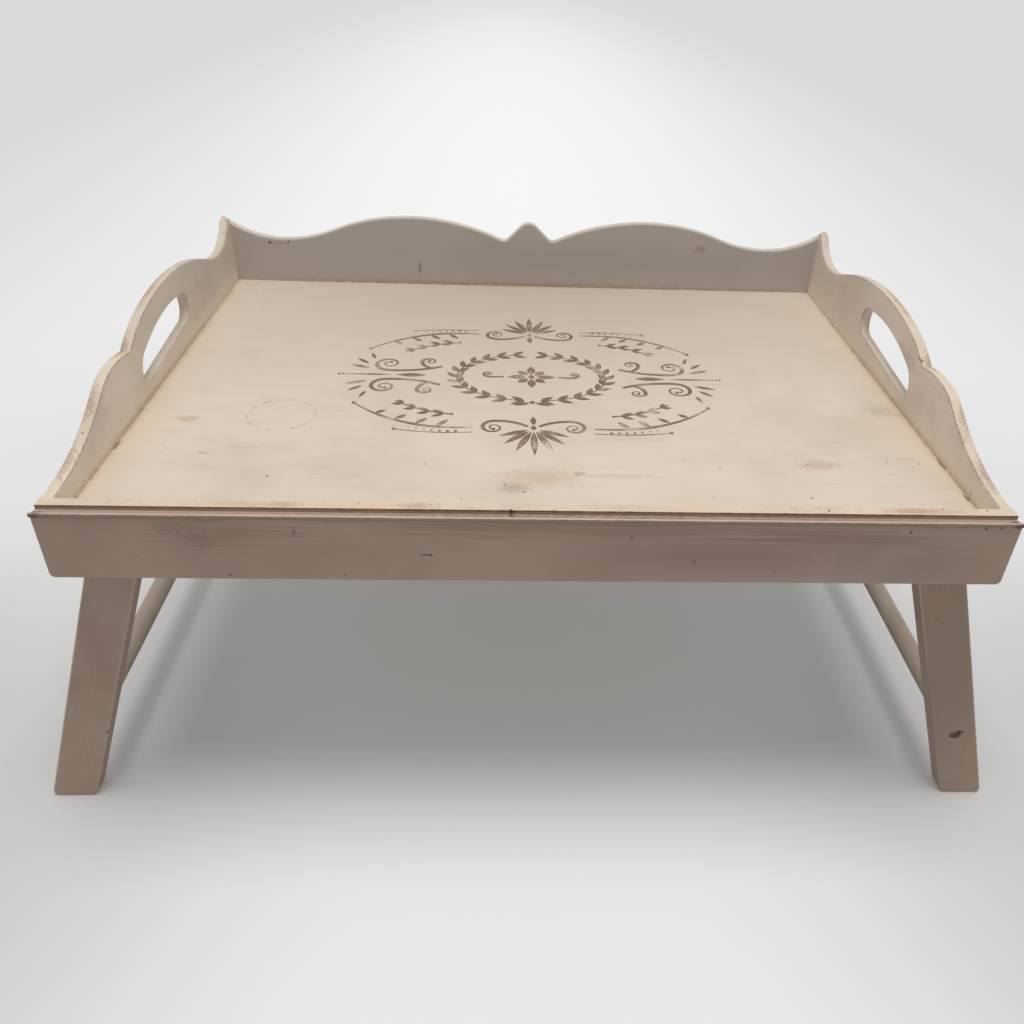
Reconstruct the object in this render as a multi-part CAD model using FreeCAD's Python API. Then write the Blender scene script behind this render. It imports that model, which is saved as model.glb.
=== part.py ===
import FreeCAD, Part
import math
import os

V = FreeCAD.Vector

# Bed tray table on two folding leg frames.
# Millimetres, +Z up, ground at Z = 0, the moulded front edge towards -Y.
# Heights given as "over the rim" count from the top of the front wall.

# ---- tray box -------------------------------------------------------------
WIDTH = 602.0               # outside width of the tray box (X)
INNER_DEPTH = 430.0         # clear depth between front wall and back panel
RIM_HEIGHT = 277.0          # top of the front wall over the ground
BOARD_HEIGHT = 49.0         # rim down to the bottom edge of the box
FLOOR_DROP = 15.0           # rim down to the tray floor
FLOOR_T = 6.0               # floor panel thickness
FLOOR_HOUSING = 3.5         # how far the floor panel sits into the walls
FRONT_WALL_T = 8.5
BACK_T = 9.0
SIDE_T = 8.5
EDGE_SOFT = 1.0             # sanded arris on the boards

# ---- front fascia ---------------------------------------------------------
FASCIA_T = 9.0              # over the nose
FASCIA_OVERHANG = 0.3       # fascia end past the side panels
FASCIA_CORNER_R = 3.4       # rounded lower corners
FASCIA_QUIRK = 3.0          # depth of the cove where it meets the front wall
FASCIA_NOSE_DROP = 0.4      # nose of the moulding under the rim
FASCIA_NOSE_R = 1.6
FASCIA_FACE_SET = 0.9       # board face behind the nose
FASCIA_COVE_SAG = 0.9

# ---- side panel outline: (distance behind the front wall, over the rim) ----
SHOULDER_Y = 122.0
SHOULDER_H = 32.2
RISE_TURN_Y = 90.0          # where the ogee turns from hollow to round
CUSP_Y = 149.5
CUSP_H = 29.3
CUSP_R = 1.2
HAUNCH_Y = 188.5
HAUNCH_H = 44.8
ARCH_Y = 245.5
ARCH_H = 50.9
DIP_BACK = 47.0             # the dip, in front of the back panel
DIP_H = 25.7
FALL_TURN = 33.0            # from the dip forward to where the fall turns hollow
CORNER_FLAT = 3.5           # level length in front of the back panel
CORNER_H = 46.0             # back corners over the rim

# ---- handle slot in each side panel ----------------------------------------
SLOT_FRONT_Y = 162.0
SLOT_REAR_Y = 278.5
SLOT_BOTTOM_FRONT_H = -5.2
SLOT_BOTTOM_REAR_H = 5.2
SLOT_TOP_FRONT_H = 14.0
SLOT_CROWN_Y = 207.5
SLOT_CROWN_H = 28.0
SLOT_TOP_REAR_H = 27.0
SLOT_R_FRONT_LOW = 7.5
SLOT_R_FRONT_HIGH = 16.0
SLOT_R_REAR_LOW = 10.0
SLOT_R_REAR_HIGH = 12.0

# ---- back panel outline: (distance from the centre line, over the rim) -----
FINIAL_H = 48.0
FINIAL_R = 10.0
VALLEY_X = 23.2
VALLEY_H = 29.0
VALLEY_R = 8.0
HUMP_X = 118.0
HUMP_H = 51.0
BACK_DIP_INSET = 59.0       # the dip, from the outside of the box
BACK_DIP_H = 27.1
BACK_FALL_TURN = 49.2       # from the dip inward to where the fall turns hollow
BACK_TIP_FLAT = 2.0         # level length at each end

# ---- folding leg frames -----------------------------------------------------
LEG_WIDTH = 31.5            # across the leg, in the plane it swings in
LEG_T = 17.5                # along the pivot
SPLAY = 19.65               # degrees out from the vertical when open
FOOT_CORNER_R = 4.0
LEG_SOFT = 1.2              # sanded arris on the legs
STRETCHER_D = 16.0
STRETCHER_Z = 68.0          # height of the round stretcher
SOCKET_WALL = 6.5           # wood left outside the blind socket in each leg
FLOOR_GAP = 1.0             # leg top to the underside of the floor
HEAD_GAP = 0.9              # leg top to its stop rail

# ---- stop rails under the floor ----------------------------------------------
RAIL_T = 10.0
RAIL_SCREW_D = 3.0
RAIL_SCREW_HEAD_D = 6.0
RAIL_SCREW_HEAD_H = 1.8
RAIL_SCREW_BITE = 5.0       # length of screw in the side panel
RAIL_SCREW_INSET = 88.0     # each screw from its end of the rail
RAIL_SCREW_DROP = 8.4       # screw line under the floor

# ---- pivots --------------------------------------------------------------------
BOLT_D = 5.0
BOLT_HEAD_D = 10.0
BOLT_HEAD_H = 2.5
BOLT_TIP = 1.0              # bolt showing past the nut
BORE_PLAY = 0.075           # radial play of the leg on its bolt
SPACER_D = 15.0
SPACER_T = 1.0
WASHER_D = 14.0
WASHER_T = 1.2
NUT_FLATS = 8.0
NUT_H = 4.5
SIDE_PLAY = 0.3             # each side of the leg, along the pivot

# ---- screws that hold the stretchers ----------------------------------------------
SCREW_D = 3.0
SCREW_HEAD_D = 5.6
SCREW_HEAD_H = 2.2
SCREW_LENGTH = 32.0
SCREW_WELL_D = 7.6
SCREW_WELL_DEPTH = 3.4
PLUG_T = 1.2

STOP_GAP = 0.3              # open leg to the bevel of its stop rail
CUT_PAST = 5.0              # how far a cutter runs past its piece

# ---- derived -------------------------------------------------------------------------
DEPTH = FASCIA_T + FRONT_WALL_T + INNER_DEPTH + BACK_T
Y_FRONT = -DEPTH / 2.0
Y_FACE = Y_FRONT + FASCIA_FACE_SET            # flat face of the fascia
Y_WALL = Y_FRONT + FASCIA_T                   # front face of the front wall
Y_INNER = Y_WALL + FRONT_WALL_T               # inside face of the front wall
Y_BACK = Y_INNER + INNER_DEPTH                # inside face of the back panel
Y_REAR = Y_BACK + BACK_T
X_SIDE = WIDTH / 2.0
X_INNER = X_SIDE - SIDE_T
Z_BOTTOM = RIM_HEIGHT - BOARD_HEIGHT
Z_FLOOR = RIM_HEIGHT - FLOOR_DROP
Z_UNDER = Z_FLOOR - FLOOR_T

SPLAY_RAD = math.radians(SPLAY)
LEG_SLOPE = math.tan(SPLAY_RAD)
LEG_HALF_LEVEL = LEG_WIDTH / 2.0 / math.cos(SPLAY_RAD)
PIVOT_Z = Z_UNDER - FLOOR_GAP - LEG_WIDTH / 2.0
PIVOT_X = X_INNER - RAIL_T - HEAD_GAP - LEG_WIDTH / 2.0
STRETCHER_X = PIVOT_X + LEG_SLOPE * (PIVOT_Z - STRETCHER_Z)
FOOT_REACH = PIVOT_X + LEG_SLOPE * PIVOT_Z + LEG_HALF_LEVEL   # outer edge of a foot

LEG_OFFSET = SPACER_T + SIDE_PLAY             # wall face to leg face
Y_FRONT_LEG = Y_INNER + LEG_OFFSET            # front face of a front leg
Y_REAR_LEG = Y_BACK - LEG_OFFSET - LEG_T      # front face of a rear leg

SIDES = ("left", "right")
ENDS = ("front", "rear")


# ---- small helpers ---------------------------------------------------------------------
def box(x0, x1, y0, y1, z0, z1):
    return Part.makeBox(x1 - x0, y1 - y0, z1 - z0, V(x0, y0, z0))


def rod(radius, start, end):
    """Solid cylinder from one point to another."""
    axis = end.sub(start)
    return Part.makeCylinder(radius, axis.Length, start, axis)


def cone(radius0, radius1, start, end):
    axis = end.sub(start)
    return Part.makeCone(radius0, radius1, axis.Length, start, axis)


def countersunk(head_d, shank_d, face, neck, tip):
    """Countersunk screw or bolt: cone from face to neck, plain shank on to the tip."""
    head = cone(head_d / 2.0, shank_d / 2.0, face, neck)
    return head.fuse(rod(shank_d / 2.0, neck, tip)).removeSplitter()


def tangent_arc(p, direction, q):
    """Arc in a plane from p, leaving along direction, to q, and its end direction."""
    du, dv = q[0] - p[0], q[1] - p[1]
    nu, nv = -direction[1], direction[0]
    offset = (du * du + dv * dv) / (2.0 * (du * nu + dv * nv))
    centre = (p[0] + nu * offset, p[1] + nv * offset)
    half = math.atan2(du * nu + dv * nv, du * direction[0] + dv * direction[1])
    turn = 2.0 * half
    arm = (p[0] - centre[0], p[1] - centre[1])
    middle = turned(arm, half)
    return (
        (centre[0] + middle[0], centre[1] + middle[1]),
        turned(direction, turn),
    )


def turned(vector, angle):
    c, s = math.cos(angle), math.sin(angle)
    return (vector[0] * c - vector[1] * s, vector[0] * s + vector[1] * c)


def between(a, b, share):
    return (a[0] + share * (b[0] - a[0]), a[1] + share * (b[1] - a[1]))


def on_chord(a, b, u):
    """Point of the line from a to b whose first coordinate is u."""
    return between(a, b, (u - a[0]) / (b[0] - a[0]))


def touch_point(centre, radius, q):
    """Where the straight line from q touches the upper side of a circle."""
    du, dv = q[0] - centre[0], q[1] - centre[1]
    angle = math.atan2(dv, du) + math.acos(radius / math.hypot(du, dv))
    return (centre[0] + radius * math.cos(angle), centre[1] + radius * math.sin(angle))


def arc_chain(points, direction, place):
    """Arcs through the points, each leaving on the tangent of the one before."""
    edges = []
    for p, q in zip(points, points[1:]):
        middle, direction = tangent_arc(p, direction, q)
        edges.append(Part.Arc(place(p), place(middle), place(q)).toShape())
    return edges


def line(p, q, place):
    return Part.makeLine(place(p), place(q))


def plate(edges, depth):
    """Solid plate from a closed flat outline, pushed along depth."""
    wire = Part.Wire(Part.__sortEdges__(edges))
    return Part.Face(wire).extrude(depth)


def rounded(shape, radius, picked):
    return shape.makeFillet(radius, picked).Solids[0]


def eased(shape, size, picked):
    """Arris taken off the picked edges, as with sandpaper."""
    return shape.makeChamfer(size, picked).Solids[0]


def edges_where(shape, test):
    """Edges of a shape whose every sample point passes the test."""
    found = []
    for edge in shape.Edges:
        first, last = edge.ParameterRange
        points = [edge.valueAt(first + (last - first) * k / 4.0) for k in range(5)]
        if all(test(p) for p in points):
            found.append(edge)
    return found


def near(a, b, slack=0.01):
    return abs(a - b) < slack


def mirrored(shape):
    return shape.mirror(V(0, 0, 0), V(1, 0, 0))


def for_side(shape, side):
    """The shape as made for the right, or its mirror for the left."""
    return mirrored(shape) if side == "left" else shape


# ---- tray box ------------------------------------------------------------------------------
def floor_panel():
    reach = X_INNER + FLOOR_HOUSING
    y0, y1 = Y_INNER - FLOOR_HOUSING, Y_BACK + FLOOR_HOUSING
    return box(-reach, reach, y0, y1, Z_UNDER, Z_FLOOR)


def front_wall():
    """Front wall. Its inner top arris is eased between the side panels only."""
    wall = box(-X_SIDE, X_SIDE, Y_WALL, Y_INNER, Z_BOTTOM, RIM_HEIGHT)
    place = lambda p: V(-X_INNER, p[0], p[1])
    top = (Y_INNER, RIM_HEIGHT)
    fore = (Y_INNER - EDGE_SOFT, RIM_HEIGHT)
    low = (Y_INNER, RIM_HEIGHT - EDGE_SOFT)
    arris = plate([line(top, fore, place), line(fore, low, place), line(low, top, place)],
                  V(2.0 * X_INNER, 0, 0))
    wall = wall.cut(arris).cut(floor_panel())
    for side in SIDES:
        wall = wall.cut(for_side(pivot_bolt("front"), side))
    return wall


def nose_point(angle):
    """Point of the fascia's round nose, by degrees up from its foremost line."""
    centre_z = RIM_HEIGHT - FASCIA_NOSE_DROP - FASCIA_NOSE_R
    dy, dz = turned((FASCIA_NOSE_R, 0.0), math.radians(angle))
    return (Y_FRONT + FASCIA_NOSE_R - dy, centre_z + dz)


def front_fascia():
    """Applied board: flat face, round nose over it and a cove running back to the wall."""
    reach = X_SIDE + FASCIA_OVERHANG
    place = lambda p: V(-reach, p[0], p[1])
    under = -math.degrees(math.acos(1.0 - FASCIA_FACE_SET / FASCIA_NOSE_R))
    crest, nose, lip = nose_point(90.0), nose_point(0.0), nose_point(under)
    quirk = (Y_WALL, RIM_HEIGHT - FASCIA_QUIRK)
    chord = between(quirk, crest, 0.5)
    hollow = (chord[0], chord[1] - FASCIA_COVE_SAG)
    edges = [
        Part.Arc(place(quirk), place(hollow), place(crest)).toShape(),
        Part.Arc(place(crest), place(nose), place(lip)).toShape(),
        line(lip, (Y_FACE, Z_BOTTOM), place),
        line((Y_FACE, Z_BOTTOM), (Y_WALL, Z_BOTTOM), place),
        line((Y_WALL, Z_BOTTOM), quirk, place),
    ]
    moulding = plate(edges, V(2.0 * reach, 0, 0))
    board = box(-reach, reach, Y_FACE, Y_WALL, Z_BOTTOM, RIM_HEIGHT)
    corners = edges_where(board, lambda p: near(p.z, Z_BOTTOM) and near(abs(p.x), reach))
    board = rounded(board, FASCIA_CORNER_R, corners)
    board = eased(board, EDGE_SOFT, edges_where(board, lambda p: near(p.y, Y_FACE)))
    head = box(-reach, reach, Y_FRONT, Y_WALL, lip[1], RIM_HEIGHT)
    return board.fuse(head).common(moulding).removeSplitter().Solids[0]


def side_outline_edges():
    """Scalloped top, bottom and ends of a side panel, in the plane X = X_INNER."""
    place = lambda p: V(X_INNER, Y_INNER + p[0], RIM_HEIGHT + p[1])
    start = (0.0, 0.0)
    shoulder = (SHOULDER_Y, SHOULDER_H)
    cusp = (CUSP_Y, CUSP_H)
    haunch = (HAUNCH_Y, HAUNCH_H)
    arch = (ARCH_Y, ARCH_H)
    dip = (INNER_DEPTH - DIP_BACK, DIP_H)
    corner = (INNER_DEPTH - CORNER_FLAT, CORNER_H)
    end = (INNER_DEPTH, CORNER_H)
    foot = (INNER_DEPTH, -BOARD_HEIGHT)
    toe = (0.0, -BOARD_HEIGHT)
    rise = on_chord(start, shoulder, RISE_TURN_Y)
    fall = on_chord(arch, dip, dip[0] - FALL_TURN)
    edges = arc_chain([start, rise, shoulder, cusp], (1.0, 0.0), place)
    edges += arc_chain([arch, haunch, cusp], (-1.0, 0.0), place)
    edges += arc_chain([arch, fall, dip, corner], (1.0, 0.0), place)
    edges += [
        line(corner, end, place),
        line(end, foot, place),
        line(foot, toe, place),
        line(toe, start, place),
    ]
    return edges


def handle_slot():
    """Cutter for the hand hole, longer than the panel is thick."""
    x0 = X_INNER - CUT_PAST
    place = lambda p: V(x0, Y_INNER + p[0], RIM_HEIGHT + p[1])
    low_front = (SLOT_FRONT_Y, SLOT_BOTTOM_FRONT_H)
    low_rear = (SLOT_REAR_Y, SLOT_BOTTOM_REAR_H)
    high_rear = (SLOT_REAR_Y, SLOT_TOP_REAR_H)
    high_front = (SLOT_FRONT_Y, SLOT_TOP_FRONT_H)
    crown = (SLOT_CROWN_Y, SLOT_CROWN_H)
    edges = [
        line(low_front, low_rear, place),
        line(low_rear, high_rear, place),
        Part.Arc(place(high_rear), place(crown), place(high_front)).toShape(),
        line(high_front, low_front, place),
    ]
    cutter = plate(edges, V(SIDE_T + 2.0 * CUT_PAST, 0, 0))
    for corner, radius in (
        (low_front, SLOT_R_FRONT_LOW),
        (low_rear, SLOT_R_REAR_LOW),
        (high_rear, SLOT_R_REAR_HIGH),
        (high_front, SLOT_R_FRONT_HIGH),
    ):
        at = place(corner)
        picked = edges_where(cutter, lambda p: near(p.y, at.y) and near(p.z, at.z))
        cutter = rounded(cutter, radius, picked)
    return cutter


def side_panel(side):
    panel = plate(side_outline_edges(), V(SIDE_T, 0, 0))
    cusp_y, cusp_z = Y_INNER + CUSP_Y, RIM_HEIGHT + CUSP_H
    cusp = edges_where(panel, lambda p: near(p.y, cusp_y) and near(p.z, cusp_z))
    panel = rounded(panel, CUSP_R, cusp).cut(handle_slot())
    panel = eased(
        panel,
        EDGE_SOFT,
        edges_where(
            panel,
            lambda p: p.z > Z_FLOOR and (near(p.x, X_INNER) or near(p.x, X_SIDE)),
        ),
    )
    panel = panel.cut(floor_panel())
    for y in rail_screw_stations():
        panel = panel.cut(rail_screw(y))
    return for_side(panel, side)


def back_panel():
    place = lambda p: V(p[0], Y_BACK, RIM_HEIGHT + p[1])
    tip = (0.0, FINIAL_H)
    valley = (VALLEY_X, VALLEY_H)
    brow = touch_point((0.0, FINIAL_H - FINIAL_R), FINIAL_R, valley)
    hump = (HUMP_X, HUMP_H)
    dip = (X_SIDE - BACK_DIP_INSET, BACK_DIP_H)
    fall = on_chord(hump, dip, dip[0] - BACK_FALL_TURN)
    corner = (X_SIDE - BACK_TIP_FLAT, CORNER_H)
    end = (X_SIDE, CORNER_H)
    foot = (X_SIDE, -BOARD_HEIGHT)
    edges = []
    for sign in (1.0, -1.0):
        here = lambda p, s=sign: place((s * p[0], p[1]))
        edges += arc_chain([tip, brow], (1.0, 0.0), here)
        edges.append(line(brow, valley, here))
        edges += arc_chain([hump, valley], (-1.0, 0.0), here)
        edges += arc_chain([hump, fall, dip, corner], (1.0, 0.0), here)
        edges.append(line(corner, end, here))
        edges.append(line(end, foot, here))
    edges.append(line(foot, (-foot[0], foot[1]), place))
    panel = plate(edges, V(0, BACK_T, 0))
    valleys = edges_where(
        panel,
        lambda p: near(abs(p.x), VALLEY_X) and near(p.z, RIM_HEIGHT + VALLEY_H),
    )
    panel = rounded(panel, VALLEY_R, valleys)
    panel = eased(
        panel,
        EDGE_SOFT,
        edges_where(
            panel,
            lambda p: p.z > Z_FLOOR and (near(p.y, Y_BACK) or near(p.y, Y_REAR)),
        ),
    )
    panel = panel.cut(floor_panel())
    for side in SIDES:
        panel = panel.cut(for_side(pivot_bolt("rear"), side))
    return panel


# ---- stop rails ------------------------------------------------------------------------------
def rail_screw_stations():
    return (Y_INNER + RAIL_SCREW_INSET, Y_BACK - RAIL_SCREW_INSET)


def rail_screw(y):
    """Countersunk screw through the right rail into the side panel."""
    z = Z_UNDER - RAIL_SCREW_DROP
    x0 = X_INNER - RAIL_T
    face = V(x0, y, z)
    neck = V(x0 + RAIL_SCREW_HEAD_H, y, z)
    tip = V(X_INNER + RAIL_SCREW_BITE, y, z)
    return countersunk(RAIL_SCREW_HEAD_D, RAIL_SCREW_D, face, neck, tip)


def stop_rail(side):
    """Rail under the floor whose bevel stops the open legs."""
    x0 = X_INNER - RAIL_T
    lean = FOOT_REACH + STOP_GAP / math.cos(SPLAY_RAD)
    bevel_z = (lean - x0) / LEG_SLOPE
    bevel_x = lean - LEG_SLOPE * Z_BOTTOM
    place = lambda p: V(p[0], Y_INNER, p[1])
    outline = [
        (X_INNER, Z_UNDER),
        (x0, Z_UNDER),
        (x0, bevel_z),
        (bevel_x, Z_BOTTOM),
        (X_INNER, Z_BOTTOM),
    ]
    edges = [line(p, q, place) for p, q in zip(outline, outline[1:] + outline[:1])]
    rail = plate(edges, V(0, INNER_DEPTH, 0))
    for y in rail_screw_stations():
        rail = rail.cut(rail_screw(y))
    return for_side(rail, side)


def rail_screws(side):
    return Part.makeCompound([for_side(rail_screw(y), side) for y in rail_screw_stations()])


# ---- leg frames -------------------------------------------------------------------------------
def leg_blank(y0):
    """Right leg: round head on the pivot, straight edges, level foot."""
    axis = (math.sin(SPLAY_RAD), -math.cos(SPLAY_RAD))
    across = (math.cos(SPLAY_RAD), math.sin(SPLAY_RAD))
    half = LEG_WIDTH / 2.0
    outer_top = (PIVOT_X + across[0] * half, PIVOT_Z + across[1] * half)
    inner_top = (PIVOT_X - across[0] * half, PIVOT_Z - across[1] * half)
    crown = (PIVOT_X - axis[0] * half, PIVOT_Z - axis[1] * half)
    outer_foot = (FOOT_REACH, 0.0)
    inner_foot = (FOOT_REACH - 2.0 * LEG_HALF_LEVEL, 0.0)
    place = lambda p: V(p[0], y0, p[1])
    edges = [
        Part.Arc(place(inner_top), place(crown), place(outer_top)).toShape(),
        line(outer_top, outer_foot, place),
        line(outer_foot, inner_foot, place),
        line(inner_foot, inner_top, place),
    ]
    leg = plate(edges, V(0, LEG_T, 0))
    for x in (outer_foot[0], inner_foot[0]):
        picked = edges_where(leg, lambda p: near(p.x, x) and near(p.z, 0.0))
        leg = rounded(leg, FOOT_CORNER_R, picked)
    rims = edges_where(leg, lambda p: near(p.y, y0) or near(p.y, y0 + LEG_T))
    return eased(leg, LEG_SOFT, rims)


def leg_end(end):
    """Station of a leg: its front face, its outer face and the way out of the frame."""
    if end == "front":
        return Y_FRONT_LEG, Y_FRONT_LEG, -1.0
    return Y_REAR_LEG, Y_REAR_LEG + LEG_T, 1.0


def on_stretcher(y):
    """Point on the centre line of the right stretcher."""
    return V(STRETCHER_X, y, STRETCHER_Z)


def screw_well(end):
    """Room for a stretcher screw: well, head seat and shank."""
    _, y_out, out = leg_end(end)
    well = rod(SCREW_WELL_D / 2.0, on_stretcher(y_out), on_stretcher(y_out - out * SCREW_WELL_DEPTH))
    return well.fuse(stretcher_screw(end))


def stretcher_screw(end):
    _, y_out, out = leg_end(end)
    seat = y_out - out * SCREW_WELL_DEPTH
    neck = seat - out * SCREW_HEAD_H
    tip = seat - out * SCREW_LENGTH
    return countersunk(
        SCREW_HEAD_D, SCREW_D, on_stretcher(seat), on_stretcher(neck), on_stretcher(tip)
    )


def stretcher_rod():
    y0 = Y_FRONT_LEG + SOCKET_WALL
    y1 = Y_REAR_LEG + LEG_T - SOCKET_WALL
    return rod(STRETCHER_D / 2.0, on_stretcher(y0), on_stretcher(y1))


def leg(side, end):
    y0, _, _ = leg_end(end)
    bore = rod(
        BOLT_D / 2.0 + BORE_PLAY, on_pivot(y0 - CUT_PAST), on_pivot(y0 + LEG_T + CUT_PAST)
    )
    blank = leg_blank(y0).cut(bore).cut(stretcher_rod()).cut(screw_well(end))
    return for_side(blank, side)


def stretcher(side):
    bar = stretcher_rod()
    for end in ENDS:
        bar = bar.cut(stretcher_screw(end))
    return for_side(bar, side)


def stretcher_screws(side):
    return Part.makeCompound([for_side(stretcher_screw(end), side) for end in ENDS])


def plug(side, end):
    """Filler plug over a stretcher screw, flush with the leg."""
    _, y_out, out = leg_end(end)
    disc = rod(SCREW_WELL_D / 2.0, on_stretcher(y_out), on_stretcher(y_out - out * PLUG_T))
    return for_side(disc, side)


def filler_plugs(side):
    """The right front plug is lost, so that screw is open to view."""
    kept = ENDS if side == "left" else ("rear",)
    return Part.makeCompound([plug(side, end) for end in kept])


# ---- pivots ---------------------------------------------------------------------------------------
def on_pivot(y):
    """Point on the centre line of the right pivot."""
    return V(PIVOT_X, y, PIVOT_Z)


def pivot_stack(end):
    """Pivot stations: head face, wall face, and the way into the frame."""
    if end == "front":
        return Y_WALL, Y_INNER, 1.0
    return Y_REAR, Y_BACK, -1.0


def stack_face(end, *thicknesses):
    """Station a sum of thicknesses in from the wall face."""
    _, wall, inward = pivot_stack(end)
    return wall + inward * sum(thicknesses)


def washer_face(end):
    return stack_face(end, SPACER_T, SIDE_PLAY, LEG_T, SIDE_PLAY)


def ring(radius, end, start, thickness):
    """Flat ring on the bolt, from start into the frame."""
    _, _, inward = pivot_stack(end)
    first, last = on_pivot(start), on_pivot(start + inward * thickness)
    return rod(radius, first, last).cut(rod(BOLT_D / 2.0, first, last))


def pivot_bolt(end):
    head, _, inward = pivot_stack(end)
    tip = stack_face(
        end, SPACER_T, SIDE_PLAY, LEG_T, SIDE_PLAY, WASHER_T, NUT_H, BOLT_TIP
    )
    neck = head + inward * BOLT_HEAD_H
    return countersunk(BOLT_HEAD_D, BOLT_D, on_pivot(head), on_pivot(neck), on_pivot(tip))


def pivot_nut(end):
    """Hexagon nut against the washer."""
    _, _, inward = pivot_stack(end)
    start = washer_face(end) + inward * WASHER_T
    radius = NUT_FLATS / math.sqrt(3.0)
    points = []
    for k in range(6):
        dx, dz = turned((radius, 0.0), math.radians(60.0 * k))
        points.append(on_pivot(start).add(V(dx, 0.0, dz)))
    edges = [Part.makeLine(p, q) for p, q in zip(points, points[1:] + points[:1])]
    blank = plate(edges, V(0, inward * NUT_H, 0))
    return blank.cut(rod(BOLT_D / 2.0, on_pivot(start), on_pivot(start + inward * NUT_H)))


def pivot_spacer(end):
    return ring(SPACER_D / 2.0, end, stack_face(end), SPACER_T)


def pivot_washer(end):
    return ring(WASHER_D / 2.0, end, washer_face(end), WASHER_T)


def pivot_group(maker, side):
    return Part.makeCompound([for_side(maker(end), side) for end in ENDS])


# ---- all nodes ------------------------------------------------------------------------------------
def nodes():
    parts = {
        "floor_panel": floor_panel(),
        "front_wall": front_wall(),
        "front_fascia": front_fascia(),
        "back_panel": back_panel(),
    }
    for side in SIDES:
        parts[side + "_side_panel"] = side_panel(side)
        parts[side + "_stop_rail"] = stop_rail(side)
        parts[side + "_rail_screws"] = rail_screws(side)
        parts[side + "_pivot_bolts"] = pivot_group(pivot_bolt, side)
        parts[side + "_pivot_spacers"] = pivot_group(pivot_spacer, side)
        parts[side + "_pivot_washers"] = pivot_group(pivot_washer, side)
        parts[side + "_pivot_nuts"] = pivot_group(pivot_nut, side)
        for end in ENDS:
            parts[side + "_" + end + "_leg"] = leg(side, end)
        parts[side + "_stretcher"] = stretcher(side)
        parts[side + "_stretcher_screws"] = stretcher_screws(side)
        parts[side + "_filler_plugs"] = filler_plugs(side)
    return parts


def main():
    os.makedirs("parts", exist_ok=True)
    for name, shape in nodes().items():
        shape.exportStep(os.path.join("parts", name + ".step"))
        print(name, "valid" if shape.isValid() else "NOT VALID", round(shape.Volume, 1))
    print("pivot", round(PIVOT_X, 3), round(PIVOT_Z, 3), "depth", DEPTH)


main()
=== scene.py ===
"""Looks of an old painted bed tray on two folding leg frames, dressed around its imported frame.

Everything is in metres in the frame's own axes: +X to the right, -Y towards the moulded front
edge and +Z up, with the ground at zero. Sizes in the classes are real ones in millimetres.
"""

import logging
import math
from dataclasses import dataclass, field, replace
from enum import Enum
from functools import cached_property
from typing import Any, Iterable, Sequence

import bmesh
import bpy
from mathutils import Matrix, Vector


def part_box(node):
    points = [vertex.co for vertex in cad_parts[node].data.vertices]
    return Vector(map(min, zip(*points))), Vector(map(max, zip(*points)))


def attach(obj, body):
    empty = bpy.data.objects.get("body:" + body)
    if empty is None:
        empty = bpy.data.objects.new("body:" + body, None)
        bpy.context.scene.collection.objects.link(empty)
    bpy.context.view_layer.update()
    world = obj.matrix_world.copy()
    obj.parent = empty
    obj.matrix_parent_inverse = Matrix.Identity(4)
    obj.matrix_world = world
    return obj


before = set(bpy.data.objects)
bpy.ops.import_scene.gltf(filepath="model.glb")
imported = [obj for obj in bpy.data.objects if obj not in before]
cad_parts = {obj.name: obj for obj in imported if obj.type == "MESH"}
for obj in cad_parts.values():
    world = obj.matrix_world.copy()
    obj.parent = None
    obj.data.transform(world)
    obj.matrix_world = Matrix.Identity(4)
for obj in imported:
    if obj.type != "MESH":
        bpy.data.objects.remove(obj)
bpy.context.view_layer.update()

LOG = logging.getLogger("bed_tray")
MM = 0.001

Point = tuple[float, float, float]
Flat = tuple[float, float]
Speck = tuple[float, float, float, float]
Source = bpy.types.NodeSocket | bpy.types.Node

# Sockets of the Mix node's colour mode, whose names repeat.
MIX_SHARE, MIX_UNDER, MIX_OVER, MIX_RESULT = 0, 6, 7, 2

# Limits that take a value as the share that it is.
AS_IS = (0.0, 1.0)

X, Y, Z = 0, 1, 2
LOWEST, HIGHEST = 0, 1


def face(node: str, corner: int, axis: int) -> float:
    """One side of a node's box at rest, in millimetres."""
    return round(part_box(node)[corner][axis] / MM, 2)


# Heights and faces of the tray that its marks and its print lie on, in millimetres. The flat of
# the moulded front lies behind its nose.
NOSE_DEPTH = 0.9
RIM = face("front_wall", HIGHEST, Z)
FLOOR = face("floor_panel", HIGHEST, Z)
WALL_FACE = face("front_wall", LOWEST, Y)
FRONT_FACE = face("front_fascia", LOWEST, Y) + NOSE_DEPTH
BACK_FACE = face("back_panel", LOWEST, Y)
SIDE_FACE = face("right_side_panel", LOWEST, X)

# A mark's half length that runs past every board's ends, in millimetres.
ENDLESS = 2000.0

# The open screw well in the right front leg, in line with the stretcher's axis.
ROD = [(face("right_stretcher", LOWEST, axis) + face("right_stretcher", HIGHEST, axis)) / 2.0
       for axis in (X, Y, Z)]
SCREW = (ROD[X], face("right_front_leg", LOWEST, Y), ROD[Z])


def linear(code: str) -> tuple[float, float, float, float]:
    """Turns an sRGB hex colour to the linear values that shaders take.

    Args:
        code: Six hex digits, with or without a leading mark.

    Returns:
        Linear red, green and blue, and an alpha of one.
    """
    foot_end, foot_slope, offset, scale, power = 0.04045, 12.92, 0.055, 1.055, 2.4
    digits = code.lstrip("#")
    parts = [int(digits[i:i + 2], 16) / 255.0 for i in (0, 2, 4)]
    red, green, blue = (part / foot_slope if part <= foot_end
                        else ((part + offset) / scale) ** power for part in parts)
    return (red, green, blue, 1.0)


def metres(values: Iterable[float]) -> tuple[float, ...]:
    """Millimetres to metres."""
    return tuple(v * MM for v in values)


def turns(degrees: Iterable[float]) -> tuple[float, ...]:
    """Degrees to radians."""
    return tuple(math.radians(v) for v in degrees)


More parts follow.
